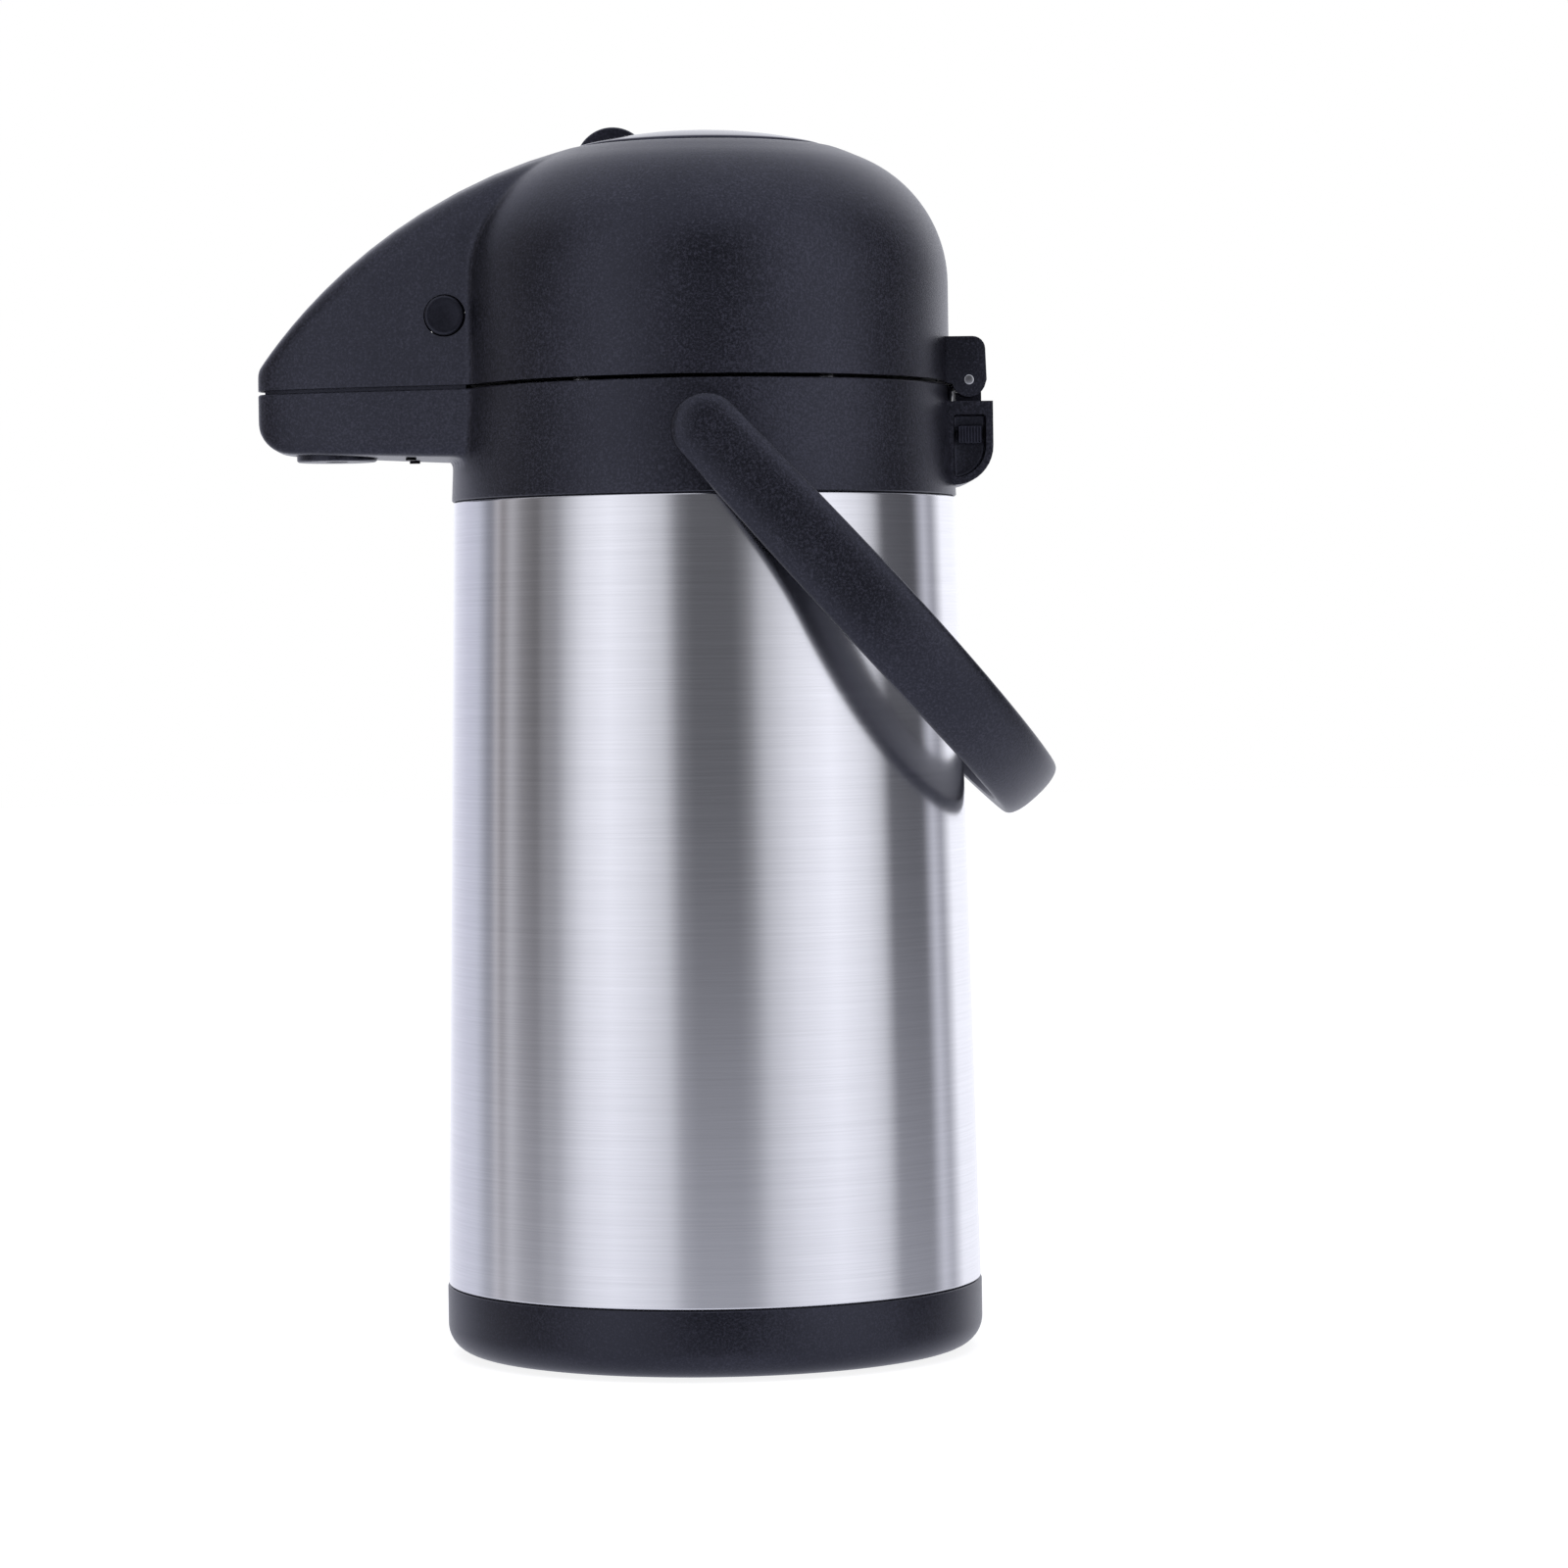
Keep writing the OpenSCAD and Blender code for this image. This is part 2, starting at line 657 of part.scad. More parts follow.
module pump_base_screws() color(steel) for (a = post_angles) rotate(a) translate([post_r, 0, 0]) {
    translate([0, 0, pump_base_z - 1.4]) cylinder(r = 3, h = 1.4);
    translate([0, 0, pump_base_z - 1]) cylinder(r = 1.35, h = 12);
}

module lid_gasket() color(silicone)
    ring(gasket_out_r, gasket_in_r, ring_top_z + fit, pump_base_z + gasket_groove);

// Folded rubber tube that pumps the air
module bellows() color(rubber) rotate_extrude() {
    z0 = pump_top_z;
    pitch = (bellows_top_z - z0 - 2) / folds;
    outer = [for (i = [0 : folds - 1])
        each [[bellows_root_r, z0 + 1 + i * pitch], [bellows_r, z0 + 1 + (i + 0.5) * pitch]]];
    inner = [for (i = [len(outer) - 1 : -1 : 0]) [outer[i][0] - bellows_t, outer[i][1]]];
    top = z0 + 1 + folds * pitch;
    root_in = bellows_root_r - bellows_t;
    polygon(concat([[bellows_r, z0], [bellows_r, z0 + 0.8]], outer,
        [[bellows_root_r, top], [31, top], [31, bellows_top_z], [root_in, bellows_top_z], [root_in, top]],
        inner, [[root_in, z0]]));
}

module bellows_ring() color(dark_plastic) difference() {
    ring(24.5, 10, pump_top_z, pump_top_z + 1.2);
    translate([0, 0, -1]) for (a = [0 : 60 : 300]) rotate(a)
        translate([14, 0, pump_top_z]) cylinder(r = 1.5, h = 4);
}

module return_spring() color(steel) coil(20, 0.9, pump_top_z + 1.25, bellows_top_z - 0.05, 7, 18, 6);

// ---- Push plate and lock ----

module plate_cap(r) translate([0, 0, plate_top_z - plate_curve_r]) sphere(r = r, $fn = 180);

module push_plate() color(plastic) difference() {
    intersection() {
        plate_cap(plate_curve_r);
        translate([0, 0, skirt_z]) cylinder(r = plate_r, h = 20);
        // bevel round the plate's rim
        translate([0, 0, skirt_z]) cylinder(r1 = plate_r + 13, r2 = plate_r - 7, h = 20);
    }
    intersection() {
        plate_cap(plate_curve_r - plate_t);
        translate([0, 0, skirt_z - 1]) cylinder(r = plate_r - skirt_t, h = 20);
    }
    slot_cut();
}

// Slot of the lock fin's stem, and the notch for its tongue
module slot_cut() {
    box([-32.4, -1.8, 330], [-20.6, 1.8, 346]);
    w = tongue_half + tongue_gap;
    box([-plate_r - 1, -w, tongue_z - 0.5], [-30, w, tongue_z + 2.2]);
}

// Cap under the push plate that presses the bellows
module plunger_carrier() color(dark_plastic) difference() {
    union() {
        translate([0, 0, bellows_top_z]) cylinder(r = 31, h = carrier_t);
        ring(carrier_tube_r, carrier_tube_r - carrier_tube_t, bellows_top_z + 2, carrier_top_z);
        for (a = [45 : 90 : 315]) rotate(a) box([carrier_tube_r - 0.5, -1, bellows_top_z + 2], [30, 1, 333]);
    }
    translate([0, 0, bellows_top_z - 1]) cylinder(r = 2.5, h = 5);
}

module air_valve() color(rubber) {
    translate([0, 0, bellows_top_z + carrier_t]) cylinder(r = 5, h = 1.5);
    translate([0, 0, bellows_top_z - 1.5]) cylinder(r = 2.3, h = 4.5);
}

module lock_fin() color(dark_plastic) {
    difference() {
        cyl_y(fin_x, fin_z, fin_r, -fin_t / 2, fin_t / 2);
        plate_cap(plate_curve_r + 0.15);
        box([-60, -10, 300], [0, 10, 339.8]);
    }
    // stem, and the tongue that slides under the plate
    box([fin_x - 2.6, -fin_stem_half, tongue_z], [fin_x + 3.4, fin_stem_half, 343]);
    box([fin_x - 8.1, -tongue_half, tongue_z], [fin_x + 6, tongue_half, tongue_z + 1.6]);
}

// ---- Latch buttons ----

module latch_button(side) color(plastic) scale([1, side, 1]) {
    x0 = button_x - latch_half;
    x1 = button_x + latch_half;
    cyl_y(button_x, button_z, button_r, latch_in_y, bill_straight(button_x) + button_proud);
    box([x0, latch_in_y, hook_z], [x1, latch_out_y, button_z]);
    box([x0, latch_in_y, hook_z], [x1, hook_y, hook_z + hook_t]);
}

module latch_button_left() latch_button(1);
module latch_button_right() latch_button(-1);

module latch_spring(side) color(steel) translate([button_x, side * (latch_post_y + 0.05), button_z])
    rotate([-90 * side, 0, 0]) coil(2.6, 0.4, 0, latch_in_y - latch_post_y - 0.15, 6, 12, 6);

module latch_spring_left() latch_spring(1);
module latch_spring_right() latch_spring(-1);

// ---- Handle ----

// Outline of the bail seen square to its plane
module bail_ring() {
    out_x = grip_reach - handle_w;
    in_x = grip_reach - grip_t - handle_in_w;
    difference() {
        union() {
            translate([out_x, 0]) circle(r = handle_w, $fn = 180);
            translate([-12, -handle_w]) square([12 + out_x, 2 * handle_w]);
        }
        translate([in_x, 0]) circle(r = handle_in_w, $fn = 180);
        translate([-13, -handle_in_w]) square([13 + in_x, 2 * handle_in_w]);
    }
}

// Outline of the strap seen from the side
module strap_side() {
    n = 8;
    half = [for (i = [0 : n]) [(grip_reach + 1) * i / n, strap_half + strap_swell * sin(180 * i / n)]];
    polygon(concat(half, [for (i = [n : -1 : 0]) [half[i][0], -half[i][1]]]));
    circle(r = strap_half);
}

module handle() color(plastic) translate([0, 0, pivot_z]) {
    rotate([0, rest_angle, 0]) intersection() {
        translate([0, 0, -15]) linear_extrude(30) bail_ring();
        slab(-90, 90) strap_side();
    }
    both_sides() difference() {
        cyl_y(0, 0, stub_r, washer_y, handle_in_w + 1);
        cyl_y(0, 0, pivot_screw_r + 0.1, 60, pivot_screw_end + 0.3);
    }
}

module pivot_washers() color(steel) both_sides() difference() {
    cyl_y(0, pivot_z, washer_r, washer_y - washer_t, washer_y);
    cyl_y(0, pivot_z, pivot_screw_r + 0.1, 60, 70);
}

module pivot_screws() color(steel) both_sides() {
    head_y = washer_y - washer_t;
    cyl_y(0, pivot_z, pivot_head_r, head_y - pivot_head_t, head_y);
    cyl_y(0, pivot_z, pivot_screw_r, head_y - 0.5, pivot_screw_end);
}

base_cup();
foot_pad();
outer_shell();
jacket_bottom();
getter_cap();
inner_flask();
flask_neck();
jacket_shoulder();
collar();
mouth_seal();
mouth_ring();
dip_tube();
valve_cage();
valve_ball();
siphon_elbow();
pipe_seals();
delivery_pipe();
pipe_clamp();
clamp_screws();
outlet_nozzle();
hinge_link();
hinge_pin();
release_tab_left();
release_tab_right();
lid();
pump_base();
pump_base_screws();
lid_gasket();
bellows();
bellows_ring();
return_spring();
push_plate();
plunger_carrier();
air_valve();
lock_fin();
latch_button_left();
latch_button_right();
latch_spring_left();
latch_spring_right();
handle();
pivot_washers();
pivot_screws();
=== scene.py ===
"""Thermal coffee airpot: the visible shells, the finishes and the studio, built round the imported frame."""
import json
import math

import bmesh
import bpy
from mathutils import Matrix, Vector


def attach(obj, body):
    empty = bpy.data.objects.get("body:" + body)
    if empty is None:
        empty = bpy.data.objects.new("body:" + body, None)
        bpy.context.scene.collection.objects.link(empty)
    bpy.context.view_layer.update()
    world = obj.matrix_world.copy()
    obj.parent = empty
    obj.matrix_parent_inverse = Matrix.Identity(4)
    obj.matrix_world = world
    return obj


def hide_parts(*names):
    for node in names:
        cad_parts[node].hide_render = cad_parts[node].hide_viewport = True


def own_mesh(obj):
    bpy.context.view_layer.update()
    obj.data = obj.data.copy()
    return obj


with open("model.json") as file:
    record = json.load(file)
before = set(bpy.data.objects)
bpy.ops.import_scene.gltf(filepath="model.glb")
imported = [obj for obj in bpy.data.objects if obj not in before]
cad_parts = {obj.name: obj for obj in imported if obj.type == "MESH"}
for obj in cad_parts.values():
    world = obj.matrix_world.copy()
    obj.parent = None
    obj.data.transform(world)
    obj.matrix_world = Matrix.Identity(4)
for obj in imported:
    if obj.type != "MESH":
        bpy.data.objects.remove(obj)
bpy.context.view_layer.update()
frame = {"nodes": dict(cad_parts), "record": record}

# ---------------------------------------------------------------- sizes, in millimetres

MM = 0.001

CUP_R = 75.6
CUP_TOP = 19.6
JACKET_R_LOW = 75.3
JACKET_R_TOP = 70.8
COLLAR_Z = 240.3
COLLAR_TOP = 271.1
COLLAR_R_LOW = 71.2
LID_Z = 271.9
DOME_R = 69.6
SHOULDER_R = 38.0
CROWN_R = 113.0
CROWN_Z = 232.3
WALL = 2.3

BILL_TIP = 125.4
BILL_ROOT_W = 28.0
BILL_NOSE_W = 21.5
BILL_NOSE_X = -85.0
ROOF_X, ROOF_Z, ROOF_R = 2.5, 188.1, 156.1
UNDER_Z, UNDER_TIP_Z, LIP_R = 252.3, 254.0, 10.0
OUTLET_X = -103.4

PLATE_R = 35.2
PLATE_TOP = 343.8
PLATE_CURVE = 142.0
WELL_R = 35.7
LAND_Z = 338.5

PIVOT_Z = 257.2
REST_ANGLE = 47.7
GRIP_REACH = 138.0
HANDLE_W = 78.2
HANDLE_IN_W = 72.7
STRAP_HALF = 9.6

HINGE_X, HINGE_Z = 74.4, 272.4
BUTTON_X, BUTTON_Z = -71.6, 291.4
BUTTON_HOLE_R = 5.85
TAB_X, TAB_Z = 74.45, 257.0
LINK_CHANNEL = (70.7, -9.1, 250), (78.5, 9.1, 280)


# ---------------------------------------------------------------- making things by hand

def clear():
    """Leaves edit mode and selects nothing, before a piece is begun."""
    if bpy.context.object and bpy.context.object.mode != "OBJECT":
        bpy.ops.object.mode_set(mode="OBJECT")
    bpy.ops.object.select_all(action="DESELECT")


def take(piece):
    """Selects one piece and nothing else."""
    clear()
    piece.select_set(True)
    bpy.context.view_layer.objects.active = piece
    return piece


def named(name):
    piece = bpy.context.object
    piece.name = name
    piece.data.name = name
    return piece


def settle(piece):
    """Puts the piece's turn, size and place into its mesh."""
    take(piece)
    bpy.ops.object.transform_apply(location=True, rotation=True, scale=True)
    return piece


def modify(piece, kind, **settings):
    """Adds a modifier and applies it."""
    take(piece)
    modifier = piece.modifiers.new(kind.lower(), kind)
    for key, value in settings.items():
        setattr(modifier, key, value)
    bpy.ops.object.modifier_apply(modifier=modifier.name)
    return piece


def cut(piece, tool, operation="DIFFERENCE", solver="EXACT"):
    """Takes the tool out of the piece, or adds it, and throws the tool away."""
    modify(piece, "BOOLEAN", object=tool, operation=operation, solver=solver)
    bpy.data.objects.remove(tool)
    return piece


def joined(first, *others):
    take(first)
    for other in others:
        other.select_set(True)
    bpy.ops.object.join()
    return first


def pick(piece, test, kind="faces"):
    """In edit mode, selects the faces, edges or points whose middle and normal pass a test."""
    mesh = bmesh.from_edit_mesh(piece.data)
    mode = {"faces": {"FACE"}, "edges": {"EDGE"}, "verts": {"VERT"}}[kind]
    bpy.ops.mesh.select_mode(type=next(iter(mode)))
    bpy.ops.mesh.select_all(action="DESELECT")
    for item in getattr(mesh, kind):
        if kind == "faces":
            item.select_set(test(item.calc_center_median(), item.normal))
        elif kind == "edges":
            item.select_set(test(item.verts[0].co, item.verts[1].co))
        else:
            item.select_set(test(item.co))
    mesh.select_flush_mode()
    bmesh.update_edit_mesh(piece.data)


def arc(cx, cz, r, start, end, count):
    """Points along an arc, its angles in degrees."""
    turns = [math.radians(start + (end - start) * i / count) for i in range(count + 1)]
    return [(cx + r * math.cos(a), cz + r * math.sin(a)) for a in turns]


def line(name, points, closed=False):
    """Draws a line from one point on, by extruding it from place to place, and stays in edit mode."""
    clear()
    here = Vector(points[0]) * MM
    bpy.ops.mesh.primitive_plane_add(size=0.001, location=here)
    piece = named(name)
    settle(piece)
    bpy.ops.object.mode_set(mode="EDIT")
    bpy.ops.mesh.select_mode(type="VERT")
    bpy.ops.mesh.select_all(action="SELECT")
    bpy.ops.mesh.merge(type="CENTER")
    for point in list(points[1:]) + ([points[0]] if closed else []):
        there = Vector(point) * MM
        bpy.ops.mesh.extrude_region_move(TRANSFORM_OT_translate={"value": there - here})
        here = there
    bpy.ops.mesh.select_all(action="SELECT")
    bpy.ops.mesh.remove_doubles(threshold=1e-6)
    bpy.ops.mesh.select_all(action="SELECT")
    return piece


def tidy(piece):
    """Closes seams and turns the faces outwards."""
    take(piece)
    bpy.ops.object.mode_set(mode="EDIT")
    bpy.ops.mesh.select_mode(type="VERT")
    bpy.ops.mesh.select_all(action="SELECT")
    bpy.ops.mesh.remove_doubles(threshold=2e-6)
    bpy.ops.mesh.dissolve_degenerate(threshold=1e-7)
    bpy.ops.mesh.select_all(action="SELECT")
    bpy.ops.mesh.normals_make_consistent(inside=False)
    bpy.ops.object.mode_set(mode="OBJECT")
    return piece


def turned(name, outline, steps=128, about=(0, 0), closed=False):
    """A turned piece: its outline, as radius and height, is spun about an upright axis."""
    piece = line(name, [(about[0] + r, about[1], z) for r, z in outline], closed)
    centre = (about[0] * MM, about[1] * MM, 0)
    bpy.ops.mesh.spin(steps=steps, angle=2 * math.pi, center=centre, axis=(0, 0, 1))
    return tidy(piece)


def slab(name, outline, low, high):
    """An outline in X and Z, filled and extruded from one Y to another."""
    piece = line(name, [(x, low, z) for x, z in outline], closed=True)
    bpy.ops.mesh.edge_face_add()
    bpy.ops.mesh.extrude_region_move(TRANSFORM_OT_translate={"value": (0, (high - low) * MM, 0)})
    return tidy(piece)


def block(name, low, high):
    """A block from one corner to the other."""
    clear()
    middle = (Vector(low) + Vector(high)) / 2 * MM
    bpy.ops.mesh.primitive_cube_add(size=1, location=middle)
    piece = named(name)
    piece.scale = (Vector(high) - Vector(low)) * MM
    return settle(piece)


def rod(name, x, z, r, low, high, sides=64):
    """A rod along Y."""
    clear()
    bpy.ops.mesh.primitive_cylinder_add(
        vertices=sides, radius=r * MM, depth=(high - low) * MM,
        location=(x * MM, (low + high) / 2 * MM, z * MM), rotation=(math.pi / 2, 0, 0))
    return settle(named(name))


def ease(piece, width, segments=3, angle=35):
    """Rounds every edge sharper than an angle."""
    return modify(piece, "BEVEL", width=width * MM, segments=segments, limit_method="ANGLE",
                  angle_limit=math.radians(angle), harden_normals=False)


def mirrored(piece, name):
    """The same piece on the other side of the bill's plane, as a mesh of its own."""
    take(piece)
    bpy.ops.object.duplicate()
    twin = named(name)
    twin.scale = (1, -1, 1)
    settle(twin)
    return tidy(twin)


def fit(piece, body, slot, *nodes, angle=35, look=None):
    """Shades the piece, gives it its finish, sets it on its body and hides the parts it stands for."""
    take(piece)
    bpy.ops.object.shade_smooth_by_angle(angle=math.radians(angle))
    piece.data.materials.clear()
    piece.data.materials.append(FINISHES[look or slot])
    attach(piece, body)
    if nodes:
        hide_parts(*nodes)
    return piece


# ---------------------------------------------------------------- finishes

def colour(code):
    """A hex sRGB colour as linear values."""
    parts = [int(code[i:i + 2], 16) / 255 for i in (1, 3, 5)]
    return tuple(c / 12.92 if c <= 0.04045 else ((c + 0.055) / 1.055) ** 2.4 for c in parts) + (1.0,)


def per_mm(size):
    """The scale of a pattern whose grains are this many millimetres across."""
    return 1 / (size * MM)


def add(tree, kind, inputs=None, **settings):
    """Adds a node. An input is a value, or another node's output to link."""
    node = tree.nodes.new(kind)
    for key, value in settings.items():
        setattr(node, key, value)
    for key, value in (inputs or {}).items():
        if isinstance(value, bpy.types.NodeSocket):
            tree.links.new(value, node.inputs[key])
        else:
            node.inputs[key].default_value = value
    return node


def finish(name, **sockets):
    """A new material with its shader's own values set."""
    material = bpy.data.materials.new(name)
    material.use_nodes = True
    shader = material.node_tree.nodes["Principled BSDF"]
    for key, value in sockets.items():
        shader.inputs[key.replace("_", " ")].default_value = value
    place = add(material.node_tree, "ShaderNodeTexCoord").outputs["Object"]
    return material, material.node_tree, shader, place


def ramp(tree, factor, *stops):
    """A colour ramp between hex colours at given places."""
    node = add(tree, "ShaderNodeValToRGB", {"Fac": factor})
    while len(node.color_ramp.elements) < len(stops):
        node.color_ramp.elements.new(0.5)
    for element, (at, code) in zip(node.color_ramp.elements, stops):
        element.position = at
        element.color = colour(code)
    return node.outputs["Color"]


def grained_polypropylene(name, dark, mid, light, grain, depth, low_rough, high_rough):
    """Polypropylene moulded in a spark-eroded tool: a matt skin of fine pits that breaks the light up."""
    material, tree, shader, place = finish(name, IOR=1.55, Specular_Tint=colour("#e2e5ff"))
    pits = add(tree, "ShaderNodeTexNoise", {"Vector": place, "Scale": per_mm(grain), "Detail": 4.0,
                                            "Roughness": 0.65})
    # slow changes of tone, as flow and handling leave them
    flow = add(tree, "ShaderNodeTexNoise", {"Vector": place, "Scale": per_mm(38), "Detail": 2.0})
    half = add(tree, "ShaderNodeMix", {"Factor": 0.22, "A": pits.outputs["Fac"], "B": flow.outputs["Fac"]})
    tree.links.new(ramp(tree, half.outputs[0], (0.38, dark), (0.5, mid), (0.62, light)),
                   shader.inputs["Base Color"])
    rough = add(tree, "ShaderNodeMapRange", {"Value": half.outputs[0], "From Min": 0.35, "From Max": 0.65,
                                             "To Min": low_rough, "To Max": high_rough})
    tree.links.new(rough.outputs[0], shader.inputs["Roughness"])
    bump = add(tree, "ShaderNodeBump", {"Height": pits.outputs["Fac"], "Strength": 0.55,
                                         "Distance": depth * MM})
    tree.links.new(bump.outputs[0], shader.inputs["Normal"])
    return material


def brushed_stainless(name, along, dark, light, rough, anisotropic=0.0):
    """Stainless brushed with a belt: hairlines one way, which draw each reflection out across them."""
    material, tree, shader, place = finish(name, Metallic=1.0, Anisotropic=anisotropic,
                                           Anisotropic_Rotation=0.25)
    if anisotropic:
        around = add(tree, "ShaderNodeTangent", direction_type="RADIAL", axis="Z")
        tree.links.new(around.outputs[0], shader.inputs["Tangent"])
    # hairlines 0.4 mm apart, drawn coarser than the real 0.1 mm so that they show
    long_way = add(tree, "ShaderNodeMapping", {"Vector": place, "Scale": along}, vector_type="POINT")
    hair = add(tree, "ShaderNodeTexNoise", {"Vector": long_way.outputs[0], "Scale": per_mm(0.4),
                                            "Detail": 3.0, "Roughness": 0.6})
    # broader bands where the belt pressed harder
    bands = add(tree, "ShaderNodeTexNoise", {"Vector": long_way.outputs[0], "Scale": per_mm(1.6),
                                             "Detail": 2.0})
    both = add(tree, "ShaderNodeMix", {"Factor": 0.2, "A": hair.outputs["Fac"], "B": bands.outputs["Fac"]})
    tree.links.new(ramp(tree, both.outputs[0], (0.3, dark), (0.7, light)), shader.inputs["Base Color"])
    tone = add(tree, "ShaderNodeMapRange", {"Value": both.outputs[0], "From Min": 0.3, "From Max": 0.7,
                                            "To Min": rough - 0.008, "To Max": rough + 0.014})
    tree.links.new(tone.outputs[0], shader.inputs["Roughness"])
    bump = add(tree, "ShaderNodeBump", {"Height": hair.outputs["Fac"], "Strength": 0.07,
                                         "Distance": 0.001 * MM})
    tree.links.new(bump.outputs[0], shader.inputs["Normal"])
    return material


def moulded_rubber(name, dark, light, rough, grain, see_through=0.0):
    """Pressed rubber or silicone: a dull, slightly mottled skin with a soft sheen at its edges."""
    material, tree, shader, place = finish(name, IOR=1.45, Sheen_Weight=0.15, Sheen_Roughness=0.5,
                                           Transmission_Weight=see_through)
    mottle = add(tree, "ShaderNodeTexNoise", {"Vector": place, "Scale": per_mm(grain), "Detail": 5.0})
    tree.links.new(ramp(tree, mottle.outputs["Fac"], (0.35, dark), (0.65, light)),
                   shader.inputs["Base Color"])
    tone = add(tree, "ShaderNodeMapRange", {"Value": mottle.outputs["Fac"],
                                            "To Min": rough - 0.08, "To Max": rough + 0.1})
    tree.links.new(tone.outputs[0], shader.inputs["Roughness"])
    bump = add(tree, "ShaderNodeBump", {"Height": mottle.outputs["Fac"], "Strength": 0.3,
                                         "Distance": 0.03 * MM})
    tree.links.new(bump.outputs[0], shader.inputs["Normal"])
    return material


FINISHES = {
    "body_plastic": grained_polypropylene("spark_grained_polypropylene", "#08080b", "#141419", "#2b2b34",
                                          0.65, 0.12, 0.27, 0.36),
    "smooth_plastic": grained_polypropylene("fine_grained_polypropylene", "#09090d", "#131319", "#24242d",
                                            0.6, 0.04, 0.3, 0.38),
    "plate_plastic": grained_polypropylene("satin_moulded_polypropylene", "#12121a", "#181820", "#22222c",
                                           0.6, 0.008, 0.12, 0.16),
    # latch button caps: the body's polypropylene made darker, painted shade for the shadow the cap's face
    # sits in within its hole
    "button_painted_shade_plastic": grained_polypropylene("shade_darkened_polypropylene", "#050508", "#0a0a0f", "#131318",
                                            0.6, 0.03, 0.34, 0.42),
    "dark_plastic": grained_polypropylene("smooth_moulded_acetal", "#0c0c13", "#13131c", "#1c1c27",
                                          1.4, 0.02, 0.34, 0.42),
    "brushed_steel": brushed_stainless("belt_brushed_stainless", (0.01, 0.01, 1), "#eeeef0", "#f9f9fb",
                                       0.165, 0.8),
    "black_screw": brushed_stainless("black_oxide_screw_steel", (0.3, 0.3, 1), "#141416", "#222225", 0.4),
    "satin_steel": brushed_stainless("drawn_stainless", (0.05, 0.05, 1), "#a9aaac", "#c6c7c9", 0.34),
    "bright_steel": brushed_stainless("turned_bright_steel", (0.2, 0.2, 1), "#c9cacc", "#e2e2e4", 0.16),
    "spring_steel": brushed_stainless("drawn_spring_wire", (0.3, 0.3, 1), "#8f9093", "#adaeb1", 0.3),
    "soft_rubber": moulded_rubber("pressed_rubber", "#111113", "#1b1b1e", 0.72, 0.9),
    "silicone": moulded_rubber("pressed_silicone", "#cfcbc2", "#e0ddd6", 0.45, 1.2, 0.15),
}


# ---------------------------------------------------------------- the moulded head: dome, collar and bill

def dome_outline(inset, low):
    """The dome's outline from its lower edge to the axis, its skin moved inwards by an inset."""
    cx = DOME_R - SHOULDER_R
    cz = CROWN_Z + math.sqrt((CROWN_R - SHOULDER_R) ** 2 - cx ** 2)
    turn = math.degrees(math.atan2(cz - CROWN_Z, cx))
    shoulder = arc(cx, cz, SHOULDER_R - inset, 0, turn, 14)
    crown = arc(0, CROWN_Z, CROWN_R - inset, turn + 3, 90, 8)
    return [(DOME_R - inset, low)] + shoulder + crown


def dome_skin(low):
    """The dome's outside, with a shallow land round the push plate."""
    land = [(38.6, LAND_Z), (36.9, LAND_Z - 0.1), (0, LAND_Z - 0.1)]
    return [(r, z) for r, z in dome_outline(0, low) if r > land[0][0] + 0.8] + land


def bill_half(x):
    """Half the bill's width at a place along it."""
    straight = BILL_ROOT_W + (BILL_NOSE_W - BILL_ROOT_W) * max(0.0, (-60 - x) / (-60 - BILL_NOSE_X))
    u = max(0.0, BILL_NOSE_X - x) / (BILL_TIP + BILL_NOSE_X)
    return straight * max(0.0, 1 - u ** 3) ** (1 / 3)


def bill_top(x):
    return ROOF_Z + math.sqrt(ROOF_R ** 2 - (x - ROOF_X) ** 2)


def bill_bottom(x):
    """Height of the bill's underside, which turns up into the lip."""
    lip_x = -BILL_TIP + LIP_R
    if x < lip_x:
        return UNDER_TIP_Z + LIP_R - math.sqrt(max(0.0, LIP_R ** 2 - (x - lip_x) ** 2))
    return UNDER_Z + (UNDER_TIP_Z - UNDER_Z) * (-72 - x) / (-72 - lip_x)


def bill_loft(name, inset, least=3):
    """The whole bill, drawn out station by station from a rounded section inside the dome to the nose.

    An inner outline ends where it is too narrow to go on."""
    stations = [-38.5, -48, -58, -68, -78, -86, -93, -100, -106, -111, -115, -118.5,
                -121.1, -123.1, -124.5, -125.2]
    x, w = stations[0], bill_half(stations[0]) - inset
    low, high = bill_bottom(x) + inset, bill_top(x) - inset
    corner_y, corner_z, foot, crown = 9.0, 12.0, 3.0, 2.2
    right = [(w - foot + foot * math.sin(math.radians(a)), low + foot - foot * math.cos(math.radians(a)))
             for a in range(0, 91, 30)]
    right += [(w - corner_y + corner_y * math.cos(math.radians(a)),
               high - crown - corner_z + corner_z * math.sin(math.radians(a))) for a in range(0, 76, 15)]
    right += [(y * w, high - crown * (y / 0.72) ** 2) for y in (0.6, 0.42, 0.21)]
    section = right + [(-y, z) for y, z in reversed(right)]
    piece = line(name, [(x, y, z) for y, z in section], closed=True)
    bpy.ops.mesh.edge_face_add()
    for new_x in stations[1:]:
        new_w = bill_half(new_x) - inset
        new_low, new_high = bill_bottom(new_x) + inset, bill_top(new_x) - inset
        stretch = (new_high - new_low) / (high - low)
        fixed = (new_low - stretch * low) / (1 - stretch)
        bpy.ops.mesh.extrude_region_move(TRANSFORM_OT_translate={"value": ((new_x - x) * MM, 0, 0)})
        bpy.ops.transform.resize(value=(1, new_w / w, stretch), center_override=(new_x * MM, 0, fixed * MM))
        x, w, low, high = new_x, new_w, new_low, new_high
        if inset and new_w < least:
            break
    return tidy(piece)


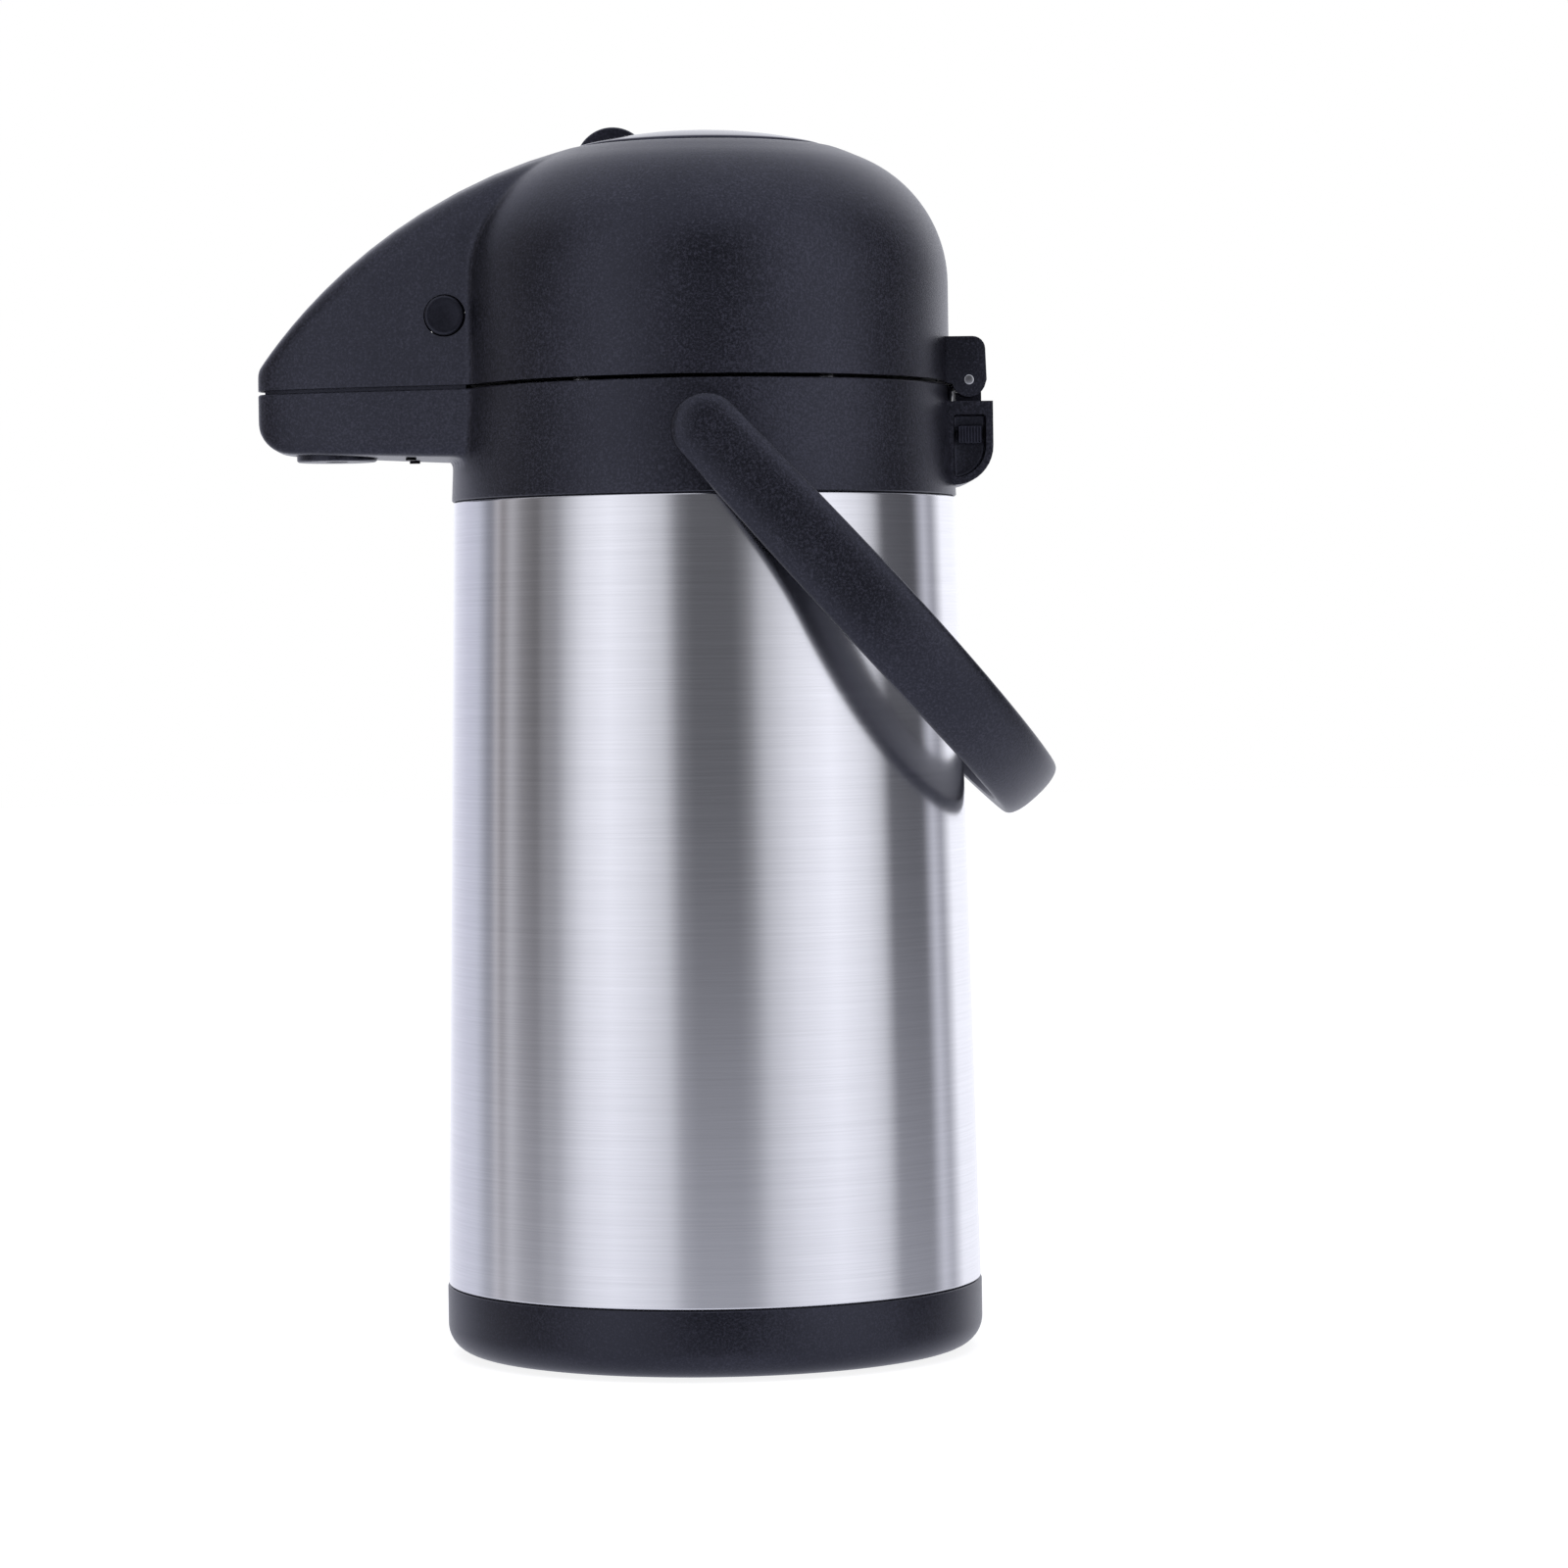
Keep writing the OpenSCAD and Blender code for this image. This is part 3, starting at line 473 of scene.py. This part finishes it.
def trim(piece, z, keep_above, lip=0.35):
    """Cuts the piece level, closes it and takes the sharp rim off with a small chamfer."""
    up = 1 if keep_above else -1
    take(piece)
    bpy.ops.object.mode_set(mode="EDIT")
    bpy.ops.mesh.select_mode(type="VERT")
    bpy.ops.mesh.select_all(action="SELECT")
    level = (z + up * lip) * MM
    bpy.ops.mesh.bisect(plane_co=(0, 0, level), plane_no=(0, 0, 1), use_fill=True,
                        clear_inner=keep_above, clear_outer=not keep_above)
    pick(piece, lambda middle, normal: abs(middle.z - level) < 1e-6 and abs(normal.z) > 0.99)
    bpy.ops.mesh.inset(thickness=lip * MM, depth=0)
    bpy.ops.transform.translate(value=(0, 0, -up * lip * MM))
    bpy.ops.object.mode_set(mode="OBJECT")
    return piece


def head_blank():
    """Dome, collar and bill in one, blended into each other as the mould does it."""
    ring = [(0, 232), (COLLAR_R_LOW + 0.15, 232), (COLLAR_R_LOW, COLLAR_Z), (69.66, LID_Z)]
    body = turned("head_blank", ring + dome_skin(LID_Z + 2), 160)
    joined(body, bill_loft("bill_blank", 0))
    modify(body, "REMESH", mode="VOXEL", voxel_size=0.95 * MM)
    modify(body, "SMOOTH", factor=0.5, iterations=7)
    return body


def make_head():
    blank = head_blank()
    take(blank)
    bpy.ops.object.duplicate()
    collar = trim(named("collar_shell"), COLLAR_TOP, keep_above=False)
    lid = trim(blank, LID_Z, keep_above=True)
    lid.name = lid.data.name = "lid_shell"
    trim(collar, COLLAR_Z, keep_above=True, lip=0.3)

    # the lid is hollow, with a well for the push plate and holes for the latch buttons
    cut(lid, turned("room", [(0, LID_Z - 2)] + dome_outline(WALL, LID_Z - 2), 96))
    cut(lid, bill_loft("room", WALL))
    cut(lid, turned("room", [(0, 300), (WELL_R, 300), (WELL_R, 350), (0, 350)], 128))
    cut(lid, rod("room", BUTTON_X, BUTTON_Z, BUTTON_HOLE_R, -40, 40))

    # the collar is hollow above and below its deck
    cut(collar, turned("room", [(0, 230), (68.8, 230), (68.8, 255), (0, 255)], 96))
    cut(collar, turned("room", [(0, 257), (68.0, 257), (67.3, 280), (0, 280)], 96))
    cut(collar, turned("room", [(0, 250), (41.5, 250), (41.5, 260), (0, 260)], 96))
    low_bill = bill_loft("room", WALL)
    cut(low_bill, block("room_side", (-66, -60, 200), (0, 60, 400)))
    cut(collar, low_bill)
    cut(collar, block("room", (-72, -22, 257), (-55, 22, 280)))
    cut(collar, turned("room", [(0, 245), (11.6, 245), (11.6, 254.2), (7.2, 254.2), (7.2, 262), (0, 262)], 64,
                       about=(OUTLET_X, 0)))
    cut(collar, block("room", *LINK_CHANNEL))
    return lid, collar


def bill_lip():
    """Thin lip inside the lower bill that stands up into the lid and closes the joint between them."""
    lip = trim(bill_loft("bill_lip", WALL + 0.2, 4.5), 273.4, keep_above=False, lip=0.2)
    trim(lip, 269.2, keep_above=True, lip=0.2)
    cut(lip, bill_loft("room", WALL + 1.2, 4.5))
    cut(lip, block("room", (-66, -60, 200), (0, 60, 400)))
    return lip


lid_shell, collar_shell = make_head()
fit(lid_shell, "lid", "body_plastic", "lid", angle=40)
fit(collar_shell, "flask", "body_plastic", "collar", angle=40)
fit(bill_lip(), "flask", "body_plastic", "collar")

well = turned("lid_well", [(WELL_R, 296), (37.9, 296), (37.9, 336.4), (WELL_R, LAND_Z - 0.2)], 128,
              closed=True)
cut(well, block("slot", (-42, -3.4, 294), (-30, 3.4, 332)))
cut(well, block("slot", (-42, -3.4, 334.1), (-30, 3.4, 338)))
fit(well, "lid", "body_plastic", "lid")


# ---------------------------------------------------------------- rear hinge and latch

def hinge_bracket():
    """Bracket moulded on the lid, forked round the hinge link."""
    outline = [(66, 272.2), (70.0, 271.2)] + arc(HINGE_X, HINGE_Z, 4.8, 200, 350, 10)
    outline += [(79.4, 272.4), (79.1, 280.8)] + arc(75.5, 281.0, 3.6, 0, 90, 6) + [(66, 284.6)]
    piece = slab("hinge_bracket", outline, -15, 15)
    cut(piece, block("fork", (69.9, -9.1, 260), (90, 9.1, 277.8)))
    ease(piece, 1.0, 4)
    return piece


def hinge_housing():
    """Housing moulded on the collar, with a panel sunk in each side for the release tab."""
    outline = [(66.5, 266.4), (66.5, 244.2), (70, 243)] + arc(70, 254, 11, -82, 0, 9) + [(81, 266.4)]
    piece = slab("hinge_housing", outline, -16, 16)
    cut(piece, block("web", (66.5, -9, 262), (69.9, 9, 270.8)), "UNION")
    cut(piece, block("channel", *LINK_CHANNEL))
    ease(piece, 1.1, 4)
    for side in (-1, 1):
        low, high = sorted((side * 12.2, side * 20))
        panel = [(69.9, 262.7), (69.9, 245.2)] + arc(70, 254, 9, -84, 0, 7) + [(79, 262.7)]
        cut(piece, ease(slab("panel", panel, low, high), 1.8, 5, 60))
    return piece


def release_tab(name):
    """Push tab with eight ribs for the thumb, and the stem behind it."""
    pad = ease(block(name, (TAB_X - 3.35, 14.4, TAB_Z - 2.5), (TAB_X + 3.35, 15.5, TAB_Z + 2.5)), 0.35)
    ribs = [ease(block("rib", (TAB_X - 3.2 + i * 0.84, 15.2, TAB_Z - 2.3),
                       (TAB_X - 2.7 + i * 0.84, 16.0, TAB_Z + 2.3)), 0.16, 2) for i in range(8)]
    stem = block("stem", (72.5, 9, TAB_Z - 1.8), (76.5, 14.6, TAB_Z + 1.8))
    return joined(pad, stem, *ribs)


fit(hinge_bracket(), "lid", "body_plastic", "lid")
fit(hinge_housing(), "flask", "body_plastic", "collar")
tab = release_tab("release_tab_left_ribbed")
fit(mirrored(tab, "release_tab_right_ribbed"), "release_tab_right", "dark_plastic", "release_tab_right")
fit(tab, "release_tab_left", "dark_plastic", "release_tab_left")

pin = ease(rod("hinge_pin_turned", HINGE_X, HINGE_Z, 1.45, -15.4, 15.4, 32), 0.3)
fit(pin, "hinge_link", "bright_steel", "hinge_pin")


def latch_button(name):
    """Round button with a dished face, on the arm of its hook."""
    face = bill_half(BUTTON_X) + 1.8
    cap = rod(name, BUTTON_X, BUTTON_Z, 5.55, 17, face)
    take(cap)
    bpy.ops.object.mode_set(mode="EDIT")
    pick(cap, lambda middle, normal: normal.y > 0.9)
    bpy.ops.mesh.bevel(offset=0.9 * MM, segments=4, affect="EDGES")
    pick(cap, lambda middle, normal: normal.y > 0.99)
    bpy.ops.mesh.inset(thickness=0.9 * MM, depth=-0.25 * MM)
    bpy.ops.object.mode_set(mode="OBJECT")
    arm = block("arm", (BUTTON_X - 3, 17, 262), (BUTTON_X + 3, 19, BUTTON_Z))
    hook = block("hook", (BUTTON_X - 3, 17, 262), (BUTTON_X + 3, 21.5, 263.6))
    return joined(cap, ease(arm, 0.4), ease(hook, 0.3))


button = latch_button("latch_button_left_cap")
# the caps take the darker polypropylene, whose colour is painted shade
fit(mirrored(button, "latch_button_right_cap"), "latch_button_right", "body_plastic", "latch_button_right",
    look="button_painted_shade_plastic")
fit(button, "latch_button_left", "body_plastic", "latch_button_left", look="button_painted_shade_plastic")


# ---------------------------------------------------------------- pump top

def plate_height(r):
    return PLATE_TOP - PLATE_CURVE + math.sqrt(PLATE_CURVE ** 2 - r ** 2)


def push_plate():
    """Crowned plate with an eased rim and a skirt that runs in the well."""
    crown = [(r, plate_height(r)) for r in (0, 6, 12, 18, 23, 27, 31, 33.6)]
    rim = arc(PLATE_R - 0.9, plate_height(34.3) - 0.95, 0.9, 62, 0, 4)
    under = [(r, plate_height(r) - 2.4) for r in (33.2, 27, 18, 9, 0)]
    piece = turned("push_plate_top", crown + rim + [(PLATE_R, 326), (33.4, 326)] + under, 128)
    cut(piece, block("slot", (-32.4, -1.8, 330), (-20.6, 1.8, 350)))
    cut(piece, block("notch", (-37, -3.4, 334.1), (-30, 3.4, 336.8)))
    return piece


def lock_fin():
    """Thin half disc to push with a fingertip, on the slide that locks the pump."""
    fin = ease(rod("lock_fin_disc", -24.5, 334.9, 10.5, -1.6, 1.6, 96), 0.6, 3)
    take(fin)
    bpy.ops.object.mode_set(mode="EDIT")
    bpy.ops.mesh.select_all(action="SELECT")
    bpy.ops.mesh.bisect(plane_co=(-34 * MM, 0, 339.95 * MM), plane_no=(-0.178, 0, 1), use_fill=True,
                        clear_inner=True)
    bpy.ops.object.mode_set(mode="OBJECT")
    stem = block("stem", (-27.1, -1.5, 334.6), (-21.1, 1.5, 342.5))
    shoe = ease(block("shoe", (-32.6, -3, 334.6), (-18.5, 3, 336.2)), 0.3)
    return joined(fin, stem, shoe)


fit(push_plate(), "push_plate", "body_plastic", "push_plate", look="plate_plastic")
fit(lock_fin(), "lock_fin", "dark_plastic", "lock_fin", look="smooth_plastic")


def bellows():
    """Folded rubber tube with soft ridges."""
    low, high, folds = 276.0, 326.0, 8
    pitch = (high - low) / folds
    steps = folds * 8
    wave = [(29.2 - 2.2 * math.cos(2 * math.pi * i / 8), low + pitch * i / 8) for i in range(steps + 1)]
    outside = [(31.4, 275)] + [(31.4, 275.8)] + wave + [(31, 326.2), (31, 327)]
    inside = [(26, 327)] + [(r - 1, z) for r, z in reversed(wave)] + [(26, 275)]
    return turned("bellows_folded", outside + inside, 96, closed=True)


def wire_coil(name, r, wire, low, high, turns, steps):
    """A round wire wound up along Z, its ends closed."""
    clear()
    bpy.ops.mesh.primitive_circle_add(vertices=10, radius=wire * MM, location=(r * MM, 0, (low + wire) * MM),
                                      rotation=(math.pi / 2, 0, 0))
    piece = settle(named(name))
    rise = (high - low - 2 * wire) / turns
    modify(piece, "SCREW", axis="Z", angle=2 * math.pi, screw_offset=rise * MM, iterations=turns, steps=steps,
           render_steps=steps, use_merge_vertices=False)
    bpy.ops.object.mode_set(mode="EDIT")
    bpy.ops.mesh.select_mode(type="EDGE")
    bpy.ops.mesh.select_all(action="DESELECT")
    bpy.ops.mesh.select_non_manifold()
    bpy.ops.mesh.edge_face_add()
    return tidy(piece)


LATCH_SPRING_LENGTH = 12.35
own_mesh(fit(bellows(), "lid", "soft_rubber", "bellows", angle=60))
main_spring = wire_coil("return_spring_coil", 20, 0.9, 276.25, 326.95, 7, 40)
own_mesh(fit(main_spring, "lid", "spring_steel", "return_spring", angle=60))

for side, word, turn in ((1, "left", -90), (-1, "right", 90)):
    coil = wire_coil(f"latch_spring_{word}_coil", 2.6, 0.4, 0, LATCH_SPRING_LENGTH, 6, 20)
    coil.rotation_euler = (math.radians(turn), 0, 0)
    coil.location = (BUTTON_X * MM, side * 4.55 * MM, BUTTON_Z * MM)
    settle(coil)
    fit(coil, "lid", "spring_steel", f"latch_spring_{word}", angle=60)
    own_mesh(coil)


# ---------------------------------------------------------------- base and body

cup = [(0, 2.2), (62.1, 2.2), (62.1, 0.8)] + arc(CUP_R - 8, 8.8, 8, -90, 0, 12)
cup += arc(CUP_R - 0.5, CUP_TOP - 0.5, 0.5, 0, 90, 3) + [(73.3, CUP_TOP), (73.3, 8.7)]
cup += arc(CUP_R - 8, 8.7, 5.7, 0, -90, 6) + [(0, 3)]
fit(turned("base_cup_moulded", cup, 160), "flask", "body_plastic", "base_cup", look="smooth_plastic")

foot = [(0, 0.4), (40, 0.4), (40.6, 0), (61.4, 0), (62, 0.6), (62, 2.2), (0, 2.2)]
fit(turned("foot_pad_pressed", foot, 128), "flask", "soft_rubber", "foot_pad")


def jacket_outline(inset):
    """The jacket's outline, stepped in under the cup and under the collar."""
    return [(73.1 - inset, 5), (73.1 - inset, CUP_TOP - 0.8)] \
        + arc(JACKET_R_LOW - 0.8 - inset, CUP_TOP + 0.9, 0.8, -75, 0, 4) \
        + arc(JACKET_R_TOP - 0.8 - inset, COLLAR_Z - 0.9, 0.8, 0, 75, 4) \
        + [(68.6 - inset, COLLAR_Z + 0.4), (68.6 - inset, 250)]


sheet = turned("jacket_brushed", jacket_outline(0) + list(reversed(jacket_outline(0.6))), 256, closed=True)
fit(sheet, "flask", "brushed_steel", "outer_shell", angle=30)

nozzle = [(3.2, 252.1), (10.8, 252.1), (11.25, 252.5), (11.25, 254.1), (7, 254.1), (7, 258), (4.1, 258),
          (4.1, 253.3), (3.2, 253.3)]
fit(turned("outlet_nozzle_moulded", nozzle, 64, about=(OUTLET_X, 0), closed=True), "flask", "body_plastic",
    "outlet_nozzle")


# ---------------------------------------------------------------- handle

def strap_section(half, thick):
    """Strap section as distance across and thickness: flat inside, crowned outside."""
    flatness, side = 2.3, 2.2
    inside = [(-half, 1.0), (-half + 0.3, 0.3), (-half + 1.0, 0), (0, 0), (half - 1.0, 0), (half - 0.3, 0.3),
              (half, 1.0)]
    outside = []
    for i in range(1, 20):
        a = math.pi * i / 20
        across = half * math.copysign(abs(math.cos(a)) ** (2 / flatness), math.cos(a))
        outside.append((round(across, 6), side + (thick - side) * math.sin(a) ** (2 / flatness)))
    return inside + outside


def strap_half(reach):
    """Half the strap's width at a distance from the pivots."""
    return STRAP_HALF + math.sin(math.pi * reach / (GRIP_REACH + 1))


def make_handle():
    """Half the bail: its section drawn along the arm, spun round the corner to the grip, and mirrored."""
    thick = HANDLE_W - HANDLE_IN_W
    bend_x = GRIP_REACH - HANDLE_W
    corner_steps = 28
    section = strap_section(STRAP_HALF, thick)
    arm = line("handle_bail", [(0, HANDLE_IN_W + t, n) for n, t in section], closed=True)
    here, width = 0, STRAP_HALF
    for step in (15, 30, 45, bend_x):
        bpy.ops.mesh.extrude_region_move(TRANSFORM_OT_translate={"value": ((step - here) * MM, 0, 0)})
        bpy.ops.transform.resize(value=(1, 1, strap_half(step) / width), center_override=(step * MM, 0, 0))
        here, width = step, strap_half(step)
    bpy.ops.mesh.spin(steps=corner_steps, angle=math.pi / 2, center=(bend_x * MM, 0, 0), axis=(0, 0, 1))
    # the strap narrows again towards the middle of the grip, ring by ring
    for i in range(1, corner_steps + 1):
        turn = math.pi / 2 * i / corner_steps
        slack = math.pi / 8 / corner_steps
        pick(arm, lambda p: p.x > (bend_x + 1) * MM
             and abs(math.atan2(p.x - bend_x * MM, p.y) - turn) < slack, "verts")
        reach = bend_x + HANDLE_W * math.sin(turn)
        bpy.ops.transform.resize(value=(1, 1, strap_half(reach) / width), center_override=(0, 0, 0))
    # the grip is thicker towards the hand
    inner = HANDLE_IN_W + 0.5
    pick(arm, lambda p: p.x > (bend_x - 0.1) * MM
         and math.hypot(p.x - bend_x * MM, p.y) < inner * MM, "verts")
    bpy.ops.transform.translate(value=(-2 * MM, 0, 0))
    # rounded end about the pivot
    upper = [(n, t) for n, t in section if n > 0.01]
    end = line("handle_end", [(0, HANDLE_IN_W + t, n) for n, t in [(0, 0)] + upper + [(0, thick)]])
    bpy.ops.mesh.spin(steps=24, angle=math.pi, center=(0, 0, 0), axis=(0, 1, 0))
    clear()
    joined(arm, end)
    tidy(arm)
    modify(arm, "MIRROR", use_axis=(False, True, False), merge_threshold=1e-5)
    tidy(arm)
    for side in (-1, 1):
        low, high = sorted((side * 65.5, side * (HANDLE_IN_W + 1)))
        cut(arm, rod("stub", 0, 0, 3.4, low, high, 32), "UNION")
    arm.rotation_euler = (0, math.radians(REST_ANGLE), 0)
    arm.location = (0, 0, PIVOT_Z * MM)
    return settle(arm)


fit(make_handle(), "handle", "body_plastic", "handle", angle=40)

for side, word in ((1, "left"), (-1, "right")):
    low, high = sorted((side * 67, side * 72.4))
    fit(ease(rod(f"pivot_boss_{word}", 0, PIVOT_Z, 8.5, low, high), 0.5), "flask", "body_plastic", "collar")


# ---------------------------------------------------------------- finishes of the parts kept as they are

slot_of = {part["node"]: part["material_slot"] for part in frame["record"]["subparts"]}
for name, node in frame["nodes"].items():
    node.data.materials.clear()
    node.data.materials.append(FINISHES["black_screw" if name == "clamp_screws" else slot_of[name]])


# ---------------------------------------------------------------- studio

def studio_floor():
    clear()
    bpy.ops.mesh.primitive_circle_add(vertices=96, radius=6, fill_type="NGON", location=(0, 0, 0))
    floor = named("studio_floor")
    # white paper on a table lit from below, so that it is as pale as the wall behind
    material, tree, shader, place = finish("matt_white_paper", Roughness=0.9, IOR=1.3, Emission_Strength=0.86)
    shader.inputs["Base Color"].default_value = colour("#8e8e90")
    shader.inputs["Emission Color"].default_value = colour("#ffffff")
    floor.data.materials.append(material)
    floor.visible_glossy = False


def studio_light(name, place, aim, size, power, tint="#ffffff"):
    data = bpy.data.lights.new(name, "AREA")
    data.shape = "RECTANGLE"
    data.size, data.size_y = size
    data.energy = power
    data.color = colour(tint)[:3]
    light = bpy.data.objects.new(name, data)
    bpy.context.collection.objects.link(light)
    light.location = place
    light.rotation_euler = (Vector(aim) - Vector(place)).to_track_quat("-Z", "Y").to_euler()
    light.visible_glossy = False
    return light


def studio_world():
    """White surroundings with dark screens between the soft boxes, which give the steel its upright bands."""
    world = bpy.data.worlds.new("studio")
    bpy.context.scene.world = world
    world.use_nodes = True
    tree = world.node_tree
    tree.nodes.clear()
    way = add(tree, "ShaderNodeTexCoord").outputs["Generated"]
    split = add(tree, "ShaderNodeSeparateXYZ", {"Vector": way})
    front = add(tree, "ShaderNodeMath", {0: split.outputs["Y"], 1: -1.0}, operation="MULTIPLY")
    angle = add(tree, "ShaderNodeMath", {0: split.outputs["X"], 1: front.outputs[0]}, operation="ARCTAN2")
    share = add(tree, "ShaderNodeMapRange", {"Value": angle.outputs[0], "From Min": -math.pi,
                                             "From Max": math.pi})
    # angle round the room from behind the object on the left, by the front, to behind it on the right
    stops = [(-170, "#ffffff"), (-156, "#e2e2e7"), (-140, "#ccccd4"), (-127, "#c2c3ca"), (-117, "#84858a"),
             (-114, "#86868a"), (-110, "#b8b5b4"), (-106, "#7c7876"), (-100, "#b0aead"), (-92, "#7e7c7b"),
             (-83, "#636160"), (-79, "#868584"), (-72, "#8e8d8d"), (-66, "#bcbcbc"), (-57, "#e4e4e4"),
             (-45, "#f4f4f4"), (-32, "#e2e2e2"), (-20, "#c4c4c4"), (-13, "#747475"), (-7, "#565657"),
             (12, "#565657"), (18, "#787878"), (25, "#b8b8b8"), (38, "#e2e2e2"), (56, "#fbfbfb"),
             (73, "#e2e2e2"), (81, "#c4c4c4"), (88, "#58585a"), (110, "#4c4c4e"), (118, "#c0c0c4"),
             (126, "#929296"), (137, "#ffffff")]
    bands = ramp(tree, share.outputs[0], *[((a + 180) / 360, code) for a, code in stops])
    up = add(tree, "ShaderNodeMapRange", {"Value": split.outputs["Z"], "From Min": 0.45, "From Max": 0.8})
    room = add(tree, "ShaderNodeMix", {"Factor": up.outputs[0], "A": bands, "B": colour("#d8d9dc")},
               data_type="RGBA")
    # the white table shows in the low part of every reflection
    down = add(tree, "ShaderNodeMapRange", {"Value": split.outputs["Z"], "From Min": 0.03, "From Max": -0.66})
    table = add(tree, "ShaderNodeMix", {"Factor": down.outputs[0], "A": room.outputs["Result"],
                                            "B": colour("#d4d5da")}, data_type="RGBA")
    seen = add(tree, "ShaderNodeBackground", {"Color": colour("#ffffff"), "Strength": 1.0})
    # the soft boxes are a little cool
    cool = add(tree, "ShaderNodeMix", {"Factor": 1.0, "A": table.outputs["Result"], "B": colour("#f5f6ff")},
               data_type="RGBA", blend_type="MULTIPLY")
    lit = add(tree, "ShaderNodeBackground", {"Color": cool.outputs["Result"], "Strength": 1.1})
    path = add(tree, "ShaderNodeLightPath")
    pick_one = add(tree, "ShaderNodeMixShader", {0: path.outputs["Is Camera Ray"], 1: lit.outputs[0],
                                                  2: seen.outputs[0]})
    out = add(tree, "ShaderNodeOutputWorld", {"Surface": pick_one.outputs[0]})
    return out


LENS = 118.7
ROLL = -0.79


def camera():
    data = bpy.data.cameras.new("camera")
    data.sensor_width = 36
    data.lens = LENS
    data.clip_end = 100
    seat = bpy.data.objects.new("camera", data)
    bpy.context.collection.objects.link(seat)
    seat.location = (-0.0161, -1.4631, 0.1942)
    seat.rotation_euler = (math.radians(90 - 1.357), 0, math.radians(-1.47))
    seat.rotation_euler.rotate_axis("Z", math.radians(ROLL))
    bpy.context.scene.camera = seat


studio_floor()
studio_world()
studio_light("top_soft_box", (0, -0.3, 1.6), (0, 0, 0.1), (1.6, 1.2), 14)
camera()
bpy.context.scene.view_settings.view_transform = "Standard"
